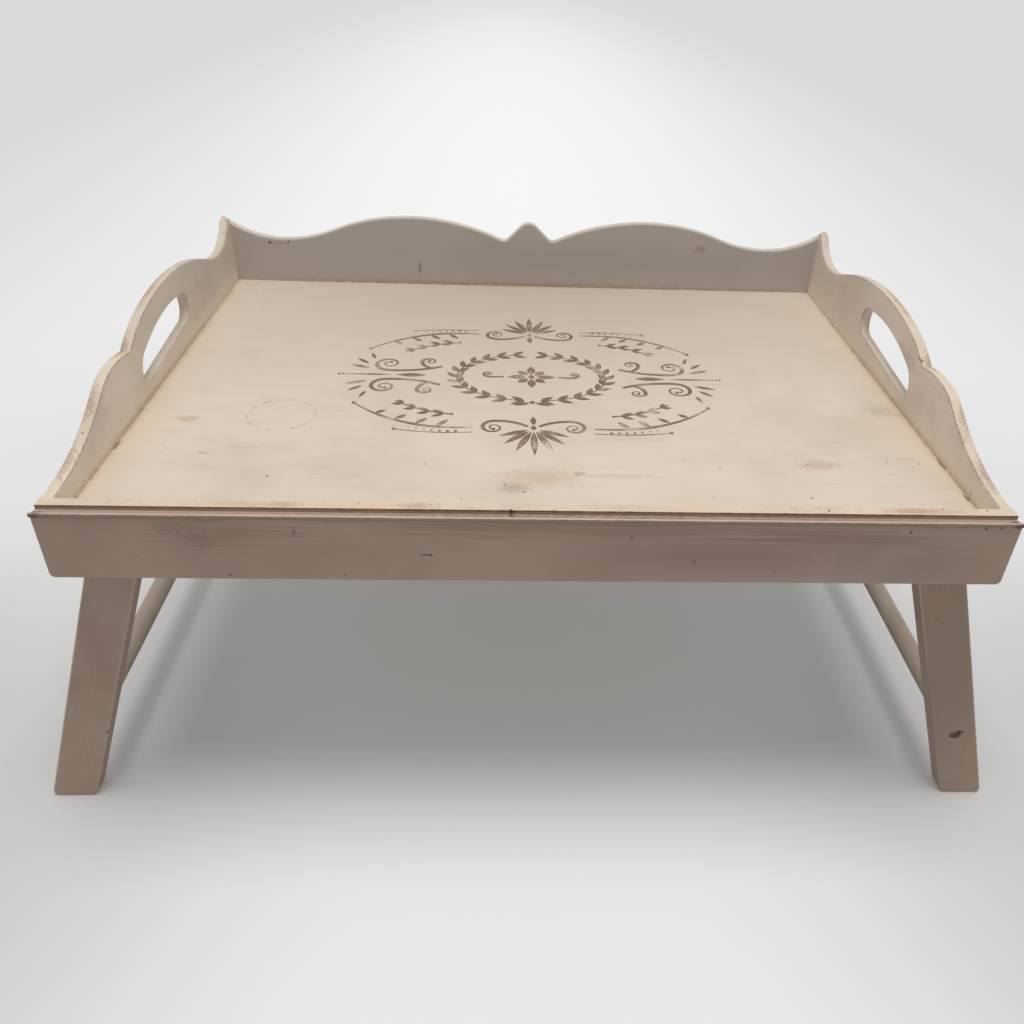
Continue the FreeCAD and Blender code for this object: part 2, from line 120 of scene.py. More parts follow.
def polar(radius: float, bearing_deg: float, middle: Flat = (0.0, 0.0)) -> Flat:
    """The point at a distance and a bearing from a middle."""
    way = math.radians(bearing_deg)
    return (middle[0] + radius * math.cos(way), middle[1] + radius * math.sin(way))


class Stroke(Enum):
    """Which way the brush ran on a board, as the turn of its long axis from +X, in degrees."""

    ALONG_X = (0.0, 0.0, 0.0)
    ALONG_Y = (0.0, 0.0, 90.0)
    DOWN_LEFT_LEG = (0.0, 109.65, 0.0)
    DOWN_RIGHT_LEG = (0.0, 70.35, 0.0)


class MarkForm(Enum):
    """The form of a mark that use has left on the paint."""

    SPOT = "spot"
    RING = "ring"


class Grain(Enum):
    """What breaks up a coat and the edge of a mark."""

    FINE = "fine"
    MILD = "mild"
    SLOW = "slow"
    BRISTLE = "bristle"


class Board(Enum):
    """The axis across a board's thickness, whose normals tell the eased arrises."""

    ACROSS_X = X
    ACROSS_Y = Y
    NONE = -1


@dataclass
class Ground:
    """What the looks of one material are laid on.

    Attributes:
        tree: The tree of the material or world.
        grains: The noises that break up its coats and the edges of its marks, round one half.
    """

    tree: bpy.types.NodeTree
    grains: dict[Grain, Source] = field(default_factory=dict)

    @classmethod
    def blank(cls, owner: bpy.types.Material | bpy.types.World) -> "Ground":
        """Empties a tree for new looks.

        Args:
            owner: The material or world whose tree it is.

        Returns:
            The ground, with nothing on it.
        """
        owner.use_nodes = True
        owner.node_tree.nodes.clear()
        return cls(owner.node_tree)

    @cached_property
    def place(self) -> Source:
        """Object coordinates."""
        return self.add("TexCoord").outputs["Object"]

    def add(self, kind: str, inputs: dict[Any, Any] | None = None,
            **settings: Any) -> bpy.types.Node:
        """Adds one node to the tree.

        Args:
            kind: The node's type name without its common prefix.
            inputs: What its inputs get, by name or number. It is a value, a socket, or a node,
                which stands for its first output.
            **settings: The node's own properties.

        Returns:
            The new node.
        """
        node = self.tree.nodes.new("ShaderNode" + kind)
        for name, value in settings.items():
            setattr(node, name, value)
        for key, value in (inputs or {}).items():
            if isinstance(value, bpy.types.Node):
                value = value.outputs[0]
            if isinstance(value, bpy.types.NodeSocket):
                self.tree.links.new(value, node.inputs[key])
            else:
                node.inputs[key].default_value = value
        return node

    def lay(self, under: Any, over: Any, value: Source, limits: Flat, share: float) -> Source:
        """Lays one colour over another where a value passes between two limits.

        Args:
            under: Colour or socket below.
            over: Colour or socket on top.
            value: The value that decides.
            limits: Where the top starts and where it is full.
            share: How much the full top hides.

        Returns:
            The mixed colour.
        """
        mask = self.add("MapRange", {"Value": value, "From Min": limits[0],
                                     "From Max": limits[1], "To Max": share},
                        interpolation_type="SMOOTHSTEP")
        mixed = self.add("Mix", {MIX_SHARE: mask, MIX_UNDER: under, MIX_OVER: over},
                         data_type="RGBA")
        return mixed.outputs[MIX_RESULT]

    def streaks(self, turn_deg: Point, run_mm: float, width_mm: float, detail: float = 3.0,
                roughness: float = 0.55, wander: float = 0.2) -> Source:
        """Noise drawn out one way.

        Args:
            turn_deg: How its long axis is turned from +X.
            run_mm: Length of an unbroken streak.
            width_mm: Width of one streak.
            detail: Finer layers in it.
            roughness: How strong these are.
            wander: How far a streak strays from the straight.

        Returns:
            The noise, round one half.
        """
        drawn = self.add("Mapping", {"Vector": self.place, "Rotation": turns(turn_deg),
                                     "Scale": metres((run_mm, width_mm, width_mm))},
                         vector_type="TEXTURE")
        return self.add("TexNoise", {"Vector": drawn, "Scale": 1.0, "Detail": detail,
                                     "Roughness": roughness, "Distortion": wander})

    def reach(self, middle: Point, halves: Point, turn_deg: Point = (0.0, 0.0, 0.0)) -> Source:
        """How far a place is from a middle, in shares of the half sizes.

        Args:
            middle: Where the distance is nothing, in metres.
            halves: Where it is one, along each axis, in metres.
            turn_deg: How these axes are turned.

        Returns:
            The distance.
        """
        own = self.add("Mapping", {"Vector": self.place, "Location": middle,
                                   "Rotation": turns(turn_deg), "Scale": halves},
                       vector_type="TEXTURE")
        return self.add("VectorMath", {0: own}, operation="LENGTH").outputs["Value"]

    def facing(self, axis: int) -> Source:
        """One part of the face's own normal, which bump doesn't turn."""
        normal = self.add("NewGeometry").outputs["True Normal"]
        return self.add("SeparateXYZ", {0: normal}).outputs[axis]

    def looked_at(self) -> Source:
        """One for rays that the eye follows, straight, off gloss or through glass."""
        path = self.add("LightPath")
        share = path.outputs["Is Camera Ray"]
        for name in ("Is Glossy Ray", "Is Transmission Ray"):
            share = self.add("Math", {0: share, 1: path.outputs[name]}, operation="MAXIMUM")
        return share


@dataclass(frozen=True)
class Mark:
    """A stain, ring, scratch, chip or patch of painted shade in the paint.

    Attributes:
        at_mm: Its middle.
        radii_mm: Its half sizes along its own axes.
        shade: Its colour.
        strength: How much of the paint it hides, up to one.
        turn_deg: How its axes are turned.
        form: A filled spot or a ring.
        ragged: How far its edge wanders, as a share of its size.
        grain: What its edge wanders with.
        soft: The share of its size over which it fades.
    """

    at_mm: Point
    radii_mm: Point
    shade: str
    strength: float
    turn_deg: Point = (0.0, 0.0, 0.0)
    form: MarkForm = MarkForm.SPOT
    ragged: float = 0.35
    grain: Grain = Grain.MILD
    soft: float = 0.5

    def lay_on(self, ground: Ground, colour: Source) -> Source:
        """Lays the mark on the paint.

        Args:
            ground: What the paint is laid on.
            colour: The paint so far.

        Returns:
            The colour with the mark on it.
        """
        gap = ground.reach(metres(self.at_mm), metres(self.radii_mm), self.turn_deg)
        # The grain centres on one half, so that twice as much of it adds the raggedness.
        limits = (1.0 + self.ragged, 1.0 + self.ragged - self.soft)
        if self.form is MarkForm.RING:
            core = 0.2
            past = ground.add("Math", {0: gap, 1: 1.0}, operation="SUBTRACT")
            gap = ground.add("Math", {0: past}, operation="ABSOLUTE")
            limits = (self.ragged + self.soft, self.ragged - core * self.soft)
        wander = ground.add("Math", {0: ground.grains[self.grain], 1: 2.0 * self.ragged, 2: gap},
                            operation="MULTIPLY_ADD")
        return ground.lay(colour, linear(self.shade), wander, limits, self.strength)


@dataclass(frozen=True)
class ChalkPaint:
    """Chalk paint brushed on pine by hand: matt and smooth, with faint bristle lines.

    The eye gets a soft cream with slow clouds of tone, fine lines along the stroke, tan dirt
    where boards meet, a warmer freckled coat on top edges, thin dirty lines on inner arrises, a
    painted highlight on the other arrises and an outside made darker and browner as painted
    shade.

    Attributes:
        name: The material's name.
        stroke: The way the brush ran.
        paint: Main colour.
        shade: Colour of the deeper clouds.
        ridge: Colour of the paint's fine ridges.
        dirt: Colour of dirt in the corners.
        wood: Colour of wood and dirt showing at an arris or speck.
        hole: Colour of a nail hole or single speck.
        top: Colour of edges that look up and are rubbed, and of the painted highlight on arrises.
        bare: Colour of pine under the single coat below the tray.
        grit_mm: Size of the finest grain.
        blotch_mm: Size of the grain over that.
        cloud_mm: Size of a cloud of tone.
        cloud_share: How strong the clouds are.
        bristle_mm: Width of one bristle line.
        bristle_share: How strong the bristle lines are.
        band_mm: Width of one pass of the brush's edge.
        band_share: How strong those passes are.
        run_mm: Length of an unbroken streak.
        dirt_reach_mm: How far dirt spreads from a joint.
        dirt_share: How strong that dirt is.
        board: The board's thickness axis.
        arris_share: How strong the dirty line on an inner arris is.
        arris_highlight_share: How strong the painted highlight on the other arrises is.
        top_share: How much edges that look up differ from the faces.
        outer_share: How strongly the board's outer face and ends are darkened as painted shade.
        outside_shade: The tint of that painted shade.
        below_share: How much pine shows through on faces that look down.
        speck_share: How many of the cells of dust and pin holes hold one.
        roughness: Roughness of the coat.
        specks: Places of single specks, each with its radius.
        marks: Marks that use has left, and patches of painted shade.
    """

    name: str
    stroke: Stroke
    paint: str = "#DDD0BF"
    shade: str = "#C9B8A4"
    ridge: str = "#E8DECF"
    dirt: str = "#A3835F"
    wood: str = "#5E4636"
    hole: str = "#3F2E24"
    top: str = "#E4D3BC"
    bare: str = "#B9936A"
    grit_mm: float = 1.4
    blotch_mm: float = 4.5
    cloud_mm: float = 75.0
    cloud_share: float = 0.45
    bristle_mm: float = 1.1
    bristle_share: float = 0.16
    band_mm: float = 8.0
    band_share: float = 0.16
    run_mm: float = 60.0
    dirt_reach_mm: float = 9.0
    dirt_share: float = 0.35
    board: Board = Board.NONE
    arris_share: float = 0.0
    arris_highlight_share: float = 0.0
    top_share: float = 0.0
    outer_share: float = 0.0
    outside_shade: str = "#DFCBB9"
    below_share: float = 0.0
    speck_share: float = 0.04
    roughness: float = 0.66
    specks: tuple[Speck, ...] = ()
    marks: tuple[Mark, ...] = ()

    def build(self) -> bpy.types.Material:
        """Makes the material, from the bare coat out to what lies on it.

        Returns:
            The finished material.
        """
        material = bpy.data.materials.new(self.name)
        ground = Ground.blank(material)
        grains = ground.grains
        harshness = 0.58
        for grain, size_mm, detail in ((Grain.FINE, self.grit_mm, 2.0),
                                       (Grain.MILD, self.blotch_mm, 3.0),
                                       (Grain.SLOW, self.cloud_mm, 5.0)):
            grains[grain] = ground.add("TexNoise", {
                "Vector": ground.place, "Scale": 1.0 / (size_mm * MM), "Detail": detail,
                "Roughness": harshness})
        grains[Grain.BRISTLE] = ground.streaks(self.stroke.value, self.run_mm, self.bristle_mm)
        colour = self.brushed(ground)
        for layer in (self.coated_below, self.rubbed_top, self.dirty, self.specked, self.edged,
                      self.marked, self.pricked, self.last_coat):
            colour = layer(ground, colour)
        blotch_height, relief, relief_mm, rough_swing, paint_ior = 0.6, 0.25, 0.22, 0.10, 1.46
        height = ground.add("Math", {0: grains[Grain.MILD], 1: blotch_height,
                                     2: grains[Grain.BRISTLE]}, operation="MULTIPLY_ADD")
        bump = ground.add("Bump", {"Height": height, "Strength": relief,
                                   "Distance": relief_mm * MM})
        rough = ground.add("MapRange", {"Value": grains[Grain.SLOW],
                                        "To Min": self.roughness - rough_swing,
                                        "To Max": self.roughness + rough_swing})
        shader = ground.add("BsdfPrincipled", {"Base Color": colour, "Roughness": rough,
                                               "Normal": bump, "IOR": paint_ior})
        ground.add("OutputMaterial", {"Surface": shader})
        return material

    def brushed(self, ground: Ground) -> Source:
        """The bare coat: clouds of tone and lines along the stroke.

        Args:
            ground: What the paint is laid on.

        Returns:
            The coat's colour.
        """
        clouds, passes, ridges, furrows = (0.40, 0.68), (0.48, 0.72), (0.50, 0.68), (0.44, 0.28)
        furrow_share = 0.6 * self.bristle_share
        band = ground.streaks(self.stroke.value, self.run_mm, self.band_mm)
        bristle = ground.grains[Grain.BRISTLE]
        shade = linear(self.shade)
        colour = ground.lay(linear(self.paint), shade, ground.grains[Grain.SLOW], clouds,
                            self.cloud_share)
        colour = ground.lay(colour, shade, band, passes, self.band_share)
        colour = ground.lay(colour, linear(self.ridge), bristle, ridges, self.bristle_share)
        return ground.lay(colour, linear(self.dirt), bristle, furrows, furrow_share)

    def coated_below(self, ground: Ground, colour: Source) -> Source:
        """Pine grain through the single coat that the underside got.

        Args:
            ground: What the paint is laid on.
            colour: The paint so far.

        Returns:
            The colour with the grain on faces that look down.
        """
        if not self.below_share:
            return colour
        ring_mm, run_mm, dark_rings, looks_down = 7.0, 260.0, (0.32, 0.70), (-0.4, -0.6)
        grain = ground.streaks(self.stroke.value, run_mm, ring_mm, detail=4.0, roughness=0.5,
                               wander=0.6)
        pine = ground.lay(colour, linear(self.bare), grain, dark_rings, self.below_share)
        return ground.lay(colour, pine, ground.facing(Z), looks_down, 1.0)

    def rubbed_top(self, ground: Ground, colour: Source) -> Source:
        """The warmer, freckled coat of edges that look up.

        Args:
            ground: What the paint is laid on.
            colour: The paint so far.

        Returns:
            The colour with its rubbed top edges.
        """
        if not self.top_share:
            return colour
        looks_up = (0.15, 0.55)
        top: Any = linear(self.top)
        for stain, grain, limits, share in ((self.shade, Grain.SLOW, (0.42, 0.66), 0.6),
                                            (self.dirt, Grain.MILD, (0.52, 0.74), 0.28),
                                            (self.wood, Grain.FINE, (0.66, 0.76), 0.28)):
            top = ground.lay(top, linear(stain), ground.grains[grain], limits, share)
        return ground.lay(colour, top, ground.facing(Z), looks_up, self.top_share)

    def dirty(self, ground: Ground, colour: Source) -> Source:
        """Tan dirt in the corners where boards meet, uneven along them.

        Args:
            ground: What the paint is laid on.
            colour: The paint so far.

        Returns:
            The colour with its dirt.
        """
        unevenness, shut_in = 0.7, (1.15, 0.72)
        open_sky = ground.add("AmbientOcclusion", {"Distance": self.dirt_reach_mm * MM},
                              samples=6).outputs["AO"]
        uneven = ground.add("Math", {0: ground.grains[Grain.SLOW], 1: unevenness, 2: open_sky},
                            operation="MULTIPLY_ADD")
        return ground.lay(colour, linear(self.dirt), uneven, shut_in, self.dirt_share)

    def specked(self, ground: Ground, colour: Source) -> Source:
        """Pin holes and flecks of dirt, one to a cell in a few of the cells.

        Args:
            ground: What the paint is laid on.
            colour: The paint so far.

        Returns:
            The colour with its specks.
        """
        cell_mm, speck_mm, hides = 11.0, 0.5, 0.6
        rim, core = 1.6 * speck_mm / cell_mm, 0.6 * speck_mm / cell_mm
        cells = ground.add("TexVoronoi", {"Vector": ground.place, "Scale": 1.0 / (cell_mm * MM)})
        pick = ground.add("SeparateColor", {0: cells.outputs["Color"]})
        chosen = ground.add("Math", {0: pick, 1: self.speck_share}, operation="LESS_THAN")
        near = ground.add("MapRange", {"Value": cells.outputs["Distance"], "From Min": rim,
                                       "From Max": core})
        mask = ground.add("Math", {0: near, 1: chosen}, operation="MULTIPLY")
        return ground.lay(colour, linear(self.wood), mask, AS_IS, hides)

    def edged(self, ground: Ground, colour: Source) -> Source:
        """A thin dirty line on inner arrises, a painted highlight on others, and a painted-shade
        outside.

        Args:
            ground: What the paint is laid on.
            colour: The paint so far.

        Returns:
            The colour with its arrises.
        """
        if self.board is Board.NONE:
            return colour
        # An eased arris looks across the board by this much, give or take the leeway, and a
        # flat face by more.
        eased_tilt, leeway, broken_line = 0.66, 0.29, (0.20, 0.62)
        across = ground.facing(self.board.value)
        tilt = ground.add("Math", {0: across}, operation="ABSOLUTE")
        eased = ground.add("Math", {0: tilt, 1: eased_tilt, 2: leeway}, operation="COMPARE")
        side = ground.add("SeparateXYZ", {0: ground.place}).outputs[self.board.value]
        outward = ground.add("Math", {0: across, 1: side}, operation="MULTIPLY")
        inner = ground.add("Math", {0: outward, 1: 0.0}, operation="LESS_THAN")
        line = ground.add("Math", {0: eased, 1: inner}, operation="MULTIPLY")
        # Painted highlight: eased arrises that aren't inner ones are laid in the paler top
        # colour.
        rub = ground.add("Math", {0: eased, 1: line}, operation="SUBTRACT")
        colour = ground.lay(colour, linear(self.top), rub, AS_IS, self.arris_highlight_share)
        colour = self.outside_shaded(ground, colour, tilt, outward, eased_tilt + leeway)
        broken = ground.add("Math", {0: ground.grains[Grain.FINE], 1: line},
                            operation="MULTIPLY")
        return ground.lay(colour, linear(self.wood), broken, broken_line, self.arris_share)

    def outside_shaded(self, ground: Ground, colour: Source, tilt: Source, outward: Source,
                flat_tilt: float) -> Source:
        """Painted shade: a darker, browner tint on the outer face, and on the ends of boards
        along X.

        Args:
            ground: What the paint is laid on.
            colour: The paint so far.
            tilt: How much a face looks across the board, either way.
            outward: More than nothing where it looks away from the tray.
            flat_tilt: The tilt over which a face is flat.

        Returns:
            The colour with its outside darkened as painted shade.
        """
        if not self.outer_share:
            return colour
        # Painted shade: flat faces that look away from the tray, and the ends, are tinted darker.
        flat = ground.add("Math", {0: tilt, 1: flat_tilt}, operation="GREATER_THAN")
        away = ground.add("Math", {0: outward, 1: 0.0}, operation="GREATER_THAN")
        outside = ground.add("Math", {0: flat, 1: away}, operation="MULTIPLY")
        if self.board is Board.ACROSS_Y:
            along = ground.add("Math", {0: ground.facing(X)}, operation="ABSOLUTE")
            end = ground.add("Math", {0: along, 1: flat_tilt}, operation="GREATER_THAN")
            outside = ground.add("Math", {0: outside, 1: end}, operation="MAXIMUM")
        outside_shade = ground.add("Mix", {MIX_SHARE: 1.0, MIX_UNDER: colour,
                                     MIX_OVER: linear(self.outside_shade)}, data_type="RGBA",
                             blend_type="MULTIPLY").outputs[MIX_RESULT]
        return ground.lay(colour, outside_shade, outside, AS_IS, self.outer_share)

    def marked(self, ground: Ground, colour: Source) -> Source:
        """The marks of use and the patches of painted shade, one over the other.

        Args:
            ground: What the paint is laid on.
            colour: The paint so far.

        Returns:
            The colour with the marks on it.
        """
        for mark in self.marks:
            colour = mark.lay_on(ground, colour)
        return colour

    def pricked(self, ground: Ground, colour: Source) -> Source:
        """Single dark specks and nail holes at stated places.

        Args:
            ground: What the paint is laid on.
            colour: The paint so far.

        Returns:
            The colour with the specks on it.
        """
        if not self.specks:
            return colour
        unevenness, rim_to_core, hides = 1.2, (1.75, 1.15), 0.85
        nearest, *others = [ground.reach(metres((x, y, z)), metres((radius, radius, radius)))
                            for x, y, z, radius in self.specks]
        for gap in others:
            nearest = ground.add("Math", {0: nearest, 1: gap}, operation="MINIMUM")
        wander = ground.add("Math", {0: ground.grains[Grain.FINE], 1: unevenness, 2: nearest},
                            operation="MULTIPLY_ADD")
        return ground.lay(colour, linear(self.hole), wander, rim_to_core, hides)

    def last_coat(self, ground: Ground, colour: Source) -> Source:
        """What lies on the paint, which is nothing on plain boards.

        Args:
            ground: What the paint is laid on.
            colour: The paint so far.

        Returns:
            The same colour.
        """
        return colour


@dataclass(frozen=True)
class StencilInk(ChalkPaint):
    """Thin brown stencil paint on the same coat.

    The eye gets a matt brown that is rubbed off in places, so that the coat shows.

    Attributes:
        ink: The stencil's colour.
        faded: Its colour where it is rubbed.
        rub_mm: Size of a rubbed patch.
    """

    ink: str = "#7A6557"
    faded: str = "#95806F"
    rub_mm: float = 24.0

    def last_coat(self, ground: Ground, colour: Source) -> Source:
        """Stencil colour over the paint.

        Args:
            ground: What the paint is laid on.
            colour: The paint so far.

        Returns:
            The ink with the paint showing through where it is rubbed.
        """
        faded, bared, grit_share, bared_share = (0.42, 0.62), (0.80, 0.92), 0.45, 0.85
        rub = ground.add("TexNoise", {"Vector": ground.place, "Scale": 1.0 / (self.rub_mm * MM),
                                      "Detail": 6.0, "Roughness": 0.58})
        both = ground.add("Math", {0: ground.grains[Grain.FINE], 1: grit_share, 2: rub},
                          operation="MULTIPLY_ADD")
        ink = ground.lay(linear(self.ink), linear(self.faded), rub, faded, 1.0)
        return ground.lay(ink, colour, both, bared, bared_share)


@dataclass(frozen=True)
class DullZinc:
    """Zinc-plated steel that has gone grey, with brown rust where it is damp.

    The eye gets a soft grey sheen, broken by matt brown patches.

    Attributes:
        name: The material's name.
        zinc: Colour of the plating.
        rust: Colour of the rust.
        rust_share: How much rust there is.
        spangle_mm: Size of the plating's grain and of a speck of rust.
    """

    name: str
    zinc: str = "#8E8B86"
    rust: str = "#4B3223"
    rust_share: float = 0.5
    spangle_mm: float = 1.2

    def build(self) -> bpy.types.Material:
        """Makes the material.

        Returns:
            The finished material.
        """
        material = bpy.data.materials.new(self.name)
        ground = Ground.blank(material)
        sheen, matt, relief, relief_mm = 0.32, 0.7, 0.2, 0.1
        # Rust starts and is full at lower values of the noise the more of it there is.
        starts, full = 0.72 - 0.4 * self.rust_share, 0.78 - 0.3 * self.rust_share
        grain = ground.add("TexNoise", {"Vector": ground.place, "Detail": 5.0,
                                        "Scale": 1.0 / (self.spangle_mm * MM)})
        rusty = ground.add("MapRange", {"Value": grain, "From Min": starts, "From Max": full},
                           interpolation_type="SMOOTHSTEP")
        colour = ground.add("Mix", {MIX_SHARE: rusty, MIX_UNDER: linear(self.zinc),
                                    MIX_OVER: linear(self.rust)}, data_type="RGBA")
        metal = ground.add("Math", {0: 1.0, 1: rusty}, operation="SUBTRACT")
        rough = ground.add("MapRange", {"Value": grain, "To Min": sheen, "To Max": matt})
        bump = ground.add("Bump", {"Height": grain, "Strength": relief,
                                   "Distance": relief_mm * MM})
        shader = ground.add("BsdfPrincipled", {"Base Color": colour.outputs[MIX_RESULT],
                                               "Metallic": metal, "Normal": bump,
                                               "Roughness": rough})
        ground.add("OutputMaterial", {"Surface": shader})
        return material


@dataclass(frozen=True)
class PalePaper:
    """Matt white paper, which keeps the object's shadow and is an even backdrop farther out.

    The eye gets near-white that falls off slowly as a painted pool of light, and a painted
    shadow beside the object.

    Attributes:
        name: The material's name.
        paper: Its colour where it is brightest.
        edge: Its colour far out.
        bounce: What the object gets back from it, a little less than the eye does.
        glow: How much of the even backdrop shows through the shading near the object.
        pool_m: Where it is brightest, along Y, and how far that reaches along X and Y.
        near_m: Where its own shading starts and stops giving way to the even backdrop.
        dim: What is left of the light on it beside the object.
        dim_at_m: Where that is, to the right of the middle, and alike to the left.
        dim_wide_m: How far it reaches along X and Y.
    """

    name: str
    paper: str = "#F6F6F6"
    edge: str = "#DADADA"
    bounce: str = "#BCBCBC"
    glow: float = 0.10
    pool_m: Point = (1.6, 1.5, 9.0)
    near_m: Flat = (0.28, 1.0)
    # dim: Colour of the painted shadow on it beside the object.
    dim: str = "#DCDCDC"
    dim_at_m: Flat = (0.56, -0.28)
    dim_wide_m: Flat = (0.46, 0.52)

    def dimmed(self, ground: Ground) -> Source:
        """Painted shadow: the paper softly darker on either side of the object.

        Args:
            ground: What the paper's looks are laid on.

        Returns:
            White, and grey on either side.
        """
        rim_to_core = (1.0, 0.2)
        across, ahead = self.dim_at_m
        wide, deep = self.dim_wide_m
        left, right = (ground.reach((side * across, ahead, 0.0), (wide, deep, 1.0))
                       for side in (-1.0, 1.0))
        nearest = ground.add("Math", {0: left, 1: right}, operation="MINIMUM")
        return ground.lay(linear("#FFFFFF"), linear(self.dim), nearest, rim_to_core, 1.0)

    def build(self) -> bpy.types.Material:
        """Makes the material.

        Returns:
            The finished material.
        """
        material = bpy.data.materials.new(self.name)
        ground = Ground.blank(material)
        looked_at = ground.looked_at()
        dim = self.dimmed(ground)
        # Painted pool of light: far out, the paper is brightest round a point behind the object.
        centre_y, half_x, half_y = self.pool_m
        away = ground.reach((0.0, centre_y, 0.0), (half_x, half_y, 1.0))
        paper = ground.lay(linear(self.paper), linear(self.edge), away, AS_IS, 1.0)
        shown = ground.add("Mix", {MIX_SHARE: looked_at, MIX_UNDER: linear(self.bounce),
                                   MIX_OVER: dim}, data_type="RGBA")
        matt = ground.add("BsdfDiffuse", {"Color": shown.outputs[MIX_RESULT]})
        backdrop = ground.add("Mix", {MIX_SHARE: 1.0, MIX_UNDER: paper, MIX_OVER: dim},
                              data_type="RGBA", blend_type="MULTIPLY")
        even = ground.add("Emission", {"Color": backdrop.outputs[MIX_RESULT]})
        starts, stops = self.near_m
        apart = ground.reach((0.0, 0.0, 0.0), (1.0, 1.0, 1.0))
        far = ground.add("MapRange", {"Value": apart, "From Min": starts, "From Max": stops,
                                      "To Min": self.glow}, interpolation_type="SMOOTHSTEP")
        share = ground.add("Math", {0: far, 1: looked_at}, operation="MULTIPLY")
        both = ground.add("MixShader", {0: share, 1: matt, 2: even})
        ground.add("OutputMaterial", {"Surface": both})
        return material


def dress(nodes: Sequence[str], material: bpy.types.Material) -> None:
    """Gives CAD nodes a finish.

    Args:
        nodes: The nodes' names.
        material: The finish.
    """
    for node in nodes:
        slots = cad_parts[node].data.materials
        slots.clear()
        slots.append(material)
        LOG.info("%s: %s", node, material.name)


@dataclass
class TrayBox:
    """The shallow box: floor, moulded front, scalloped back and sides.

    Attributes:
        paint: Colour of the floor and of the low wall in front of it.
        side_paint: Colour of the side panels, the palest.
        back_paint: Colour of the back panel, darker as painted shade; its inner face is greyer
            still.
        front_shaded_paint: Colour of the moulded front, darker and browner than the rest as
            painted shade.
        rail_paint: Colour of the stop rails under the floor.
    """

    paint: str = "#DDD0BF"
    side_paint: str = "#E8DCCF"
    back_paint: str = "#D5C8B9"
    front_shaded_paint: str = "#C8AF9C"
    rail_paint: str = "#CDBDA8"

    def floor_marks(self) -> tuple[Mark, ...]:
        """Painted shade at the back, dirt at the joints and stains on the tray floor.

        Returns:
            The marks, the large soft ones first.
        """
        z, tan, brown = FLOOR, "#BCA07A", "#86694D"
        crack, black = "#5E4736", "#4A382B"
        # Painted shade: a greyer back half, where less light reaches the floor.
        marks = [Mark((0.0, 230.0, z), (440.0, 360.0, 60.0), "#BBAE9D", 0.68,
                      grain=Grain.SLOW, soft=1.0)]
        # Dirt along the joints with the side panels and the back.
        for side in (-SIDE_FACE, SIDE_FACE):
            marks += [
                Mark((side, -70.0, z), (34.0, 330.0, 30.0), tan, 0.22, grain=Grain.SLOW,
                     ragged=0.8, soft=1.0),
                Mark((side, -30.0, z), (7.0, 400.0, 7.0), tan, 0.34, ragged=1.2, soft=1.0),
                Mark((side, -30.0, z), (1.2, 320.0, 2.0), brown, 0.5, ragged=1.4),
            ]
        marks += [
            Mark((0.0, BACK_FACE, z), (380.0, 14.0, 12.0), tan, 0.35, grain=Grain.SLOW,
                 ragged=0.8, soft=1.0),
            Mark((0.0, BACK_FACE, z), (330.0, 1.8, 2.2), brown, 0.6, ragged=1.1),
            # Tea-coloured stains and a scorch in the middle of the front.
            Mark((2.0, -157.0, z), (40.0, 17.0, 9.0), "#C4A280", 0.5, ragged=0.6, soft=1.0),
            Mark((-14.0, -170.0, z), (11.0, 7.0, 9.0), "#8A705A", 0.36, ragged=1.5,
                 grain=Grain.FINE, soft=0.3),
            Mark((29.7, -151.0, z), (5.0, 4.0, 9.0), "#A98C6F", 0.5, ragged=0.5),
            Mark((58.0, -153.0, z), (38.0, 3.0, 9.0), "#C9AC8C", 0.35, ragged=0.8),
            # The ring of a cup's foot, and rubbed streaks before it.
            Mark((-188.5, -71.0, z), (25.0, 24.0, 9.0), "#8F7C6A", 0.42, form=MarkForm.RING,
                 ragged=0.12, soft=0.035),
            Mark((-254.5, -80.6, z), (10.0, 6.5, 9.0), "#BB9E7A", 0.45, ragged=0.9),
            Mark((-222.0, -148.0, z), (15.0, 3.0, 9.0), "#C7AA92", 0.28, ragged=1.0),
            Mark((-190.0, -154.0, z), (14.0, 2.6, 9.0), "#C7AA92", 0.25, ragged=1.0),
            Mark((-207.0, -121.0, z), (18.0, 2.2, 9.0), "#B9A48E", 0.35, ragged=1.0),
            # A scuffed patch and a soft one on the right.
            Mark((202.0, -135.0, z), (17.0, 7.0, 9.0), "#B8967D", 0.34, ragged=1.5,
                 grain=Grain.FINE, soft=0.3),
            Mark((276.0, -49.0, z), (26.0, 17.0, 9.0), "#A79B8B", 0.4, ragged=0.7, soft=1.0),
            # Gaps in the joints, where the paint has cracked.
            Mark((-291.3, -120.4, z), (1.6, 8.0, 3.0), crack, 0.6, ragged=0.8,
                 grain=Grain.FINE),
            Mark((291.5, -132.0, z), (1.4, 9.0, 3.0), crack, 0.6, ragged=0.8,
                 grain=Grain.FINE),
            Mark((291.0, -176.0, z), (1.6, 6.0, 3.0), black, 0.7, ragged=0.8,
                 grain=Grain.FINE),
        ]
        return tuple(marks)

    def floor_specks(self) -> tuple[Speck, ...]:
        """Single specks on the tray floor."""
        places = ((-257.5, -123.7, 0.9), (-231.8, -129.9, 0.9), (-229.4, -129.6, 0.8),
                  (-179.6, -158.9, 1.0), (-76.2, -140.5, 0.8), (-49.4, -184.3, 0.8),
                  (-14.1, -148.2, 0.7), (-8.3, -174.8, 1.0), (105.9, -128.7, 0.8),
                  (129.7, -139.1, 0.9), (252.9, -128.8, 0.9), (275.5, -131.0, 0.8),
                  (184.2, -177.9, 0.9), (117.8, -179.4, 0.7), (193.7, -134.6, 0.8),
                  (210.0, -135.6, 0.7), (-20.9, -166.4, 1.0), (-264.0, 176.0, 1.1))
        return tuple((x, y, FLOOR, radius) for x, y, radius in places)

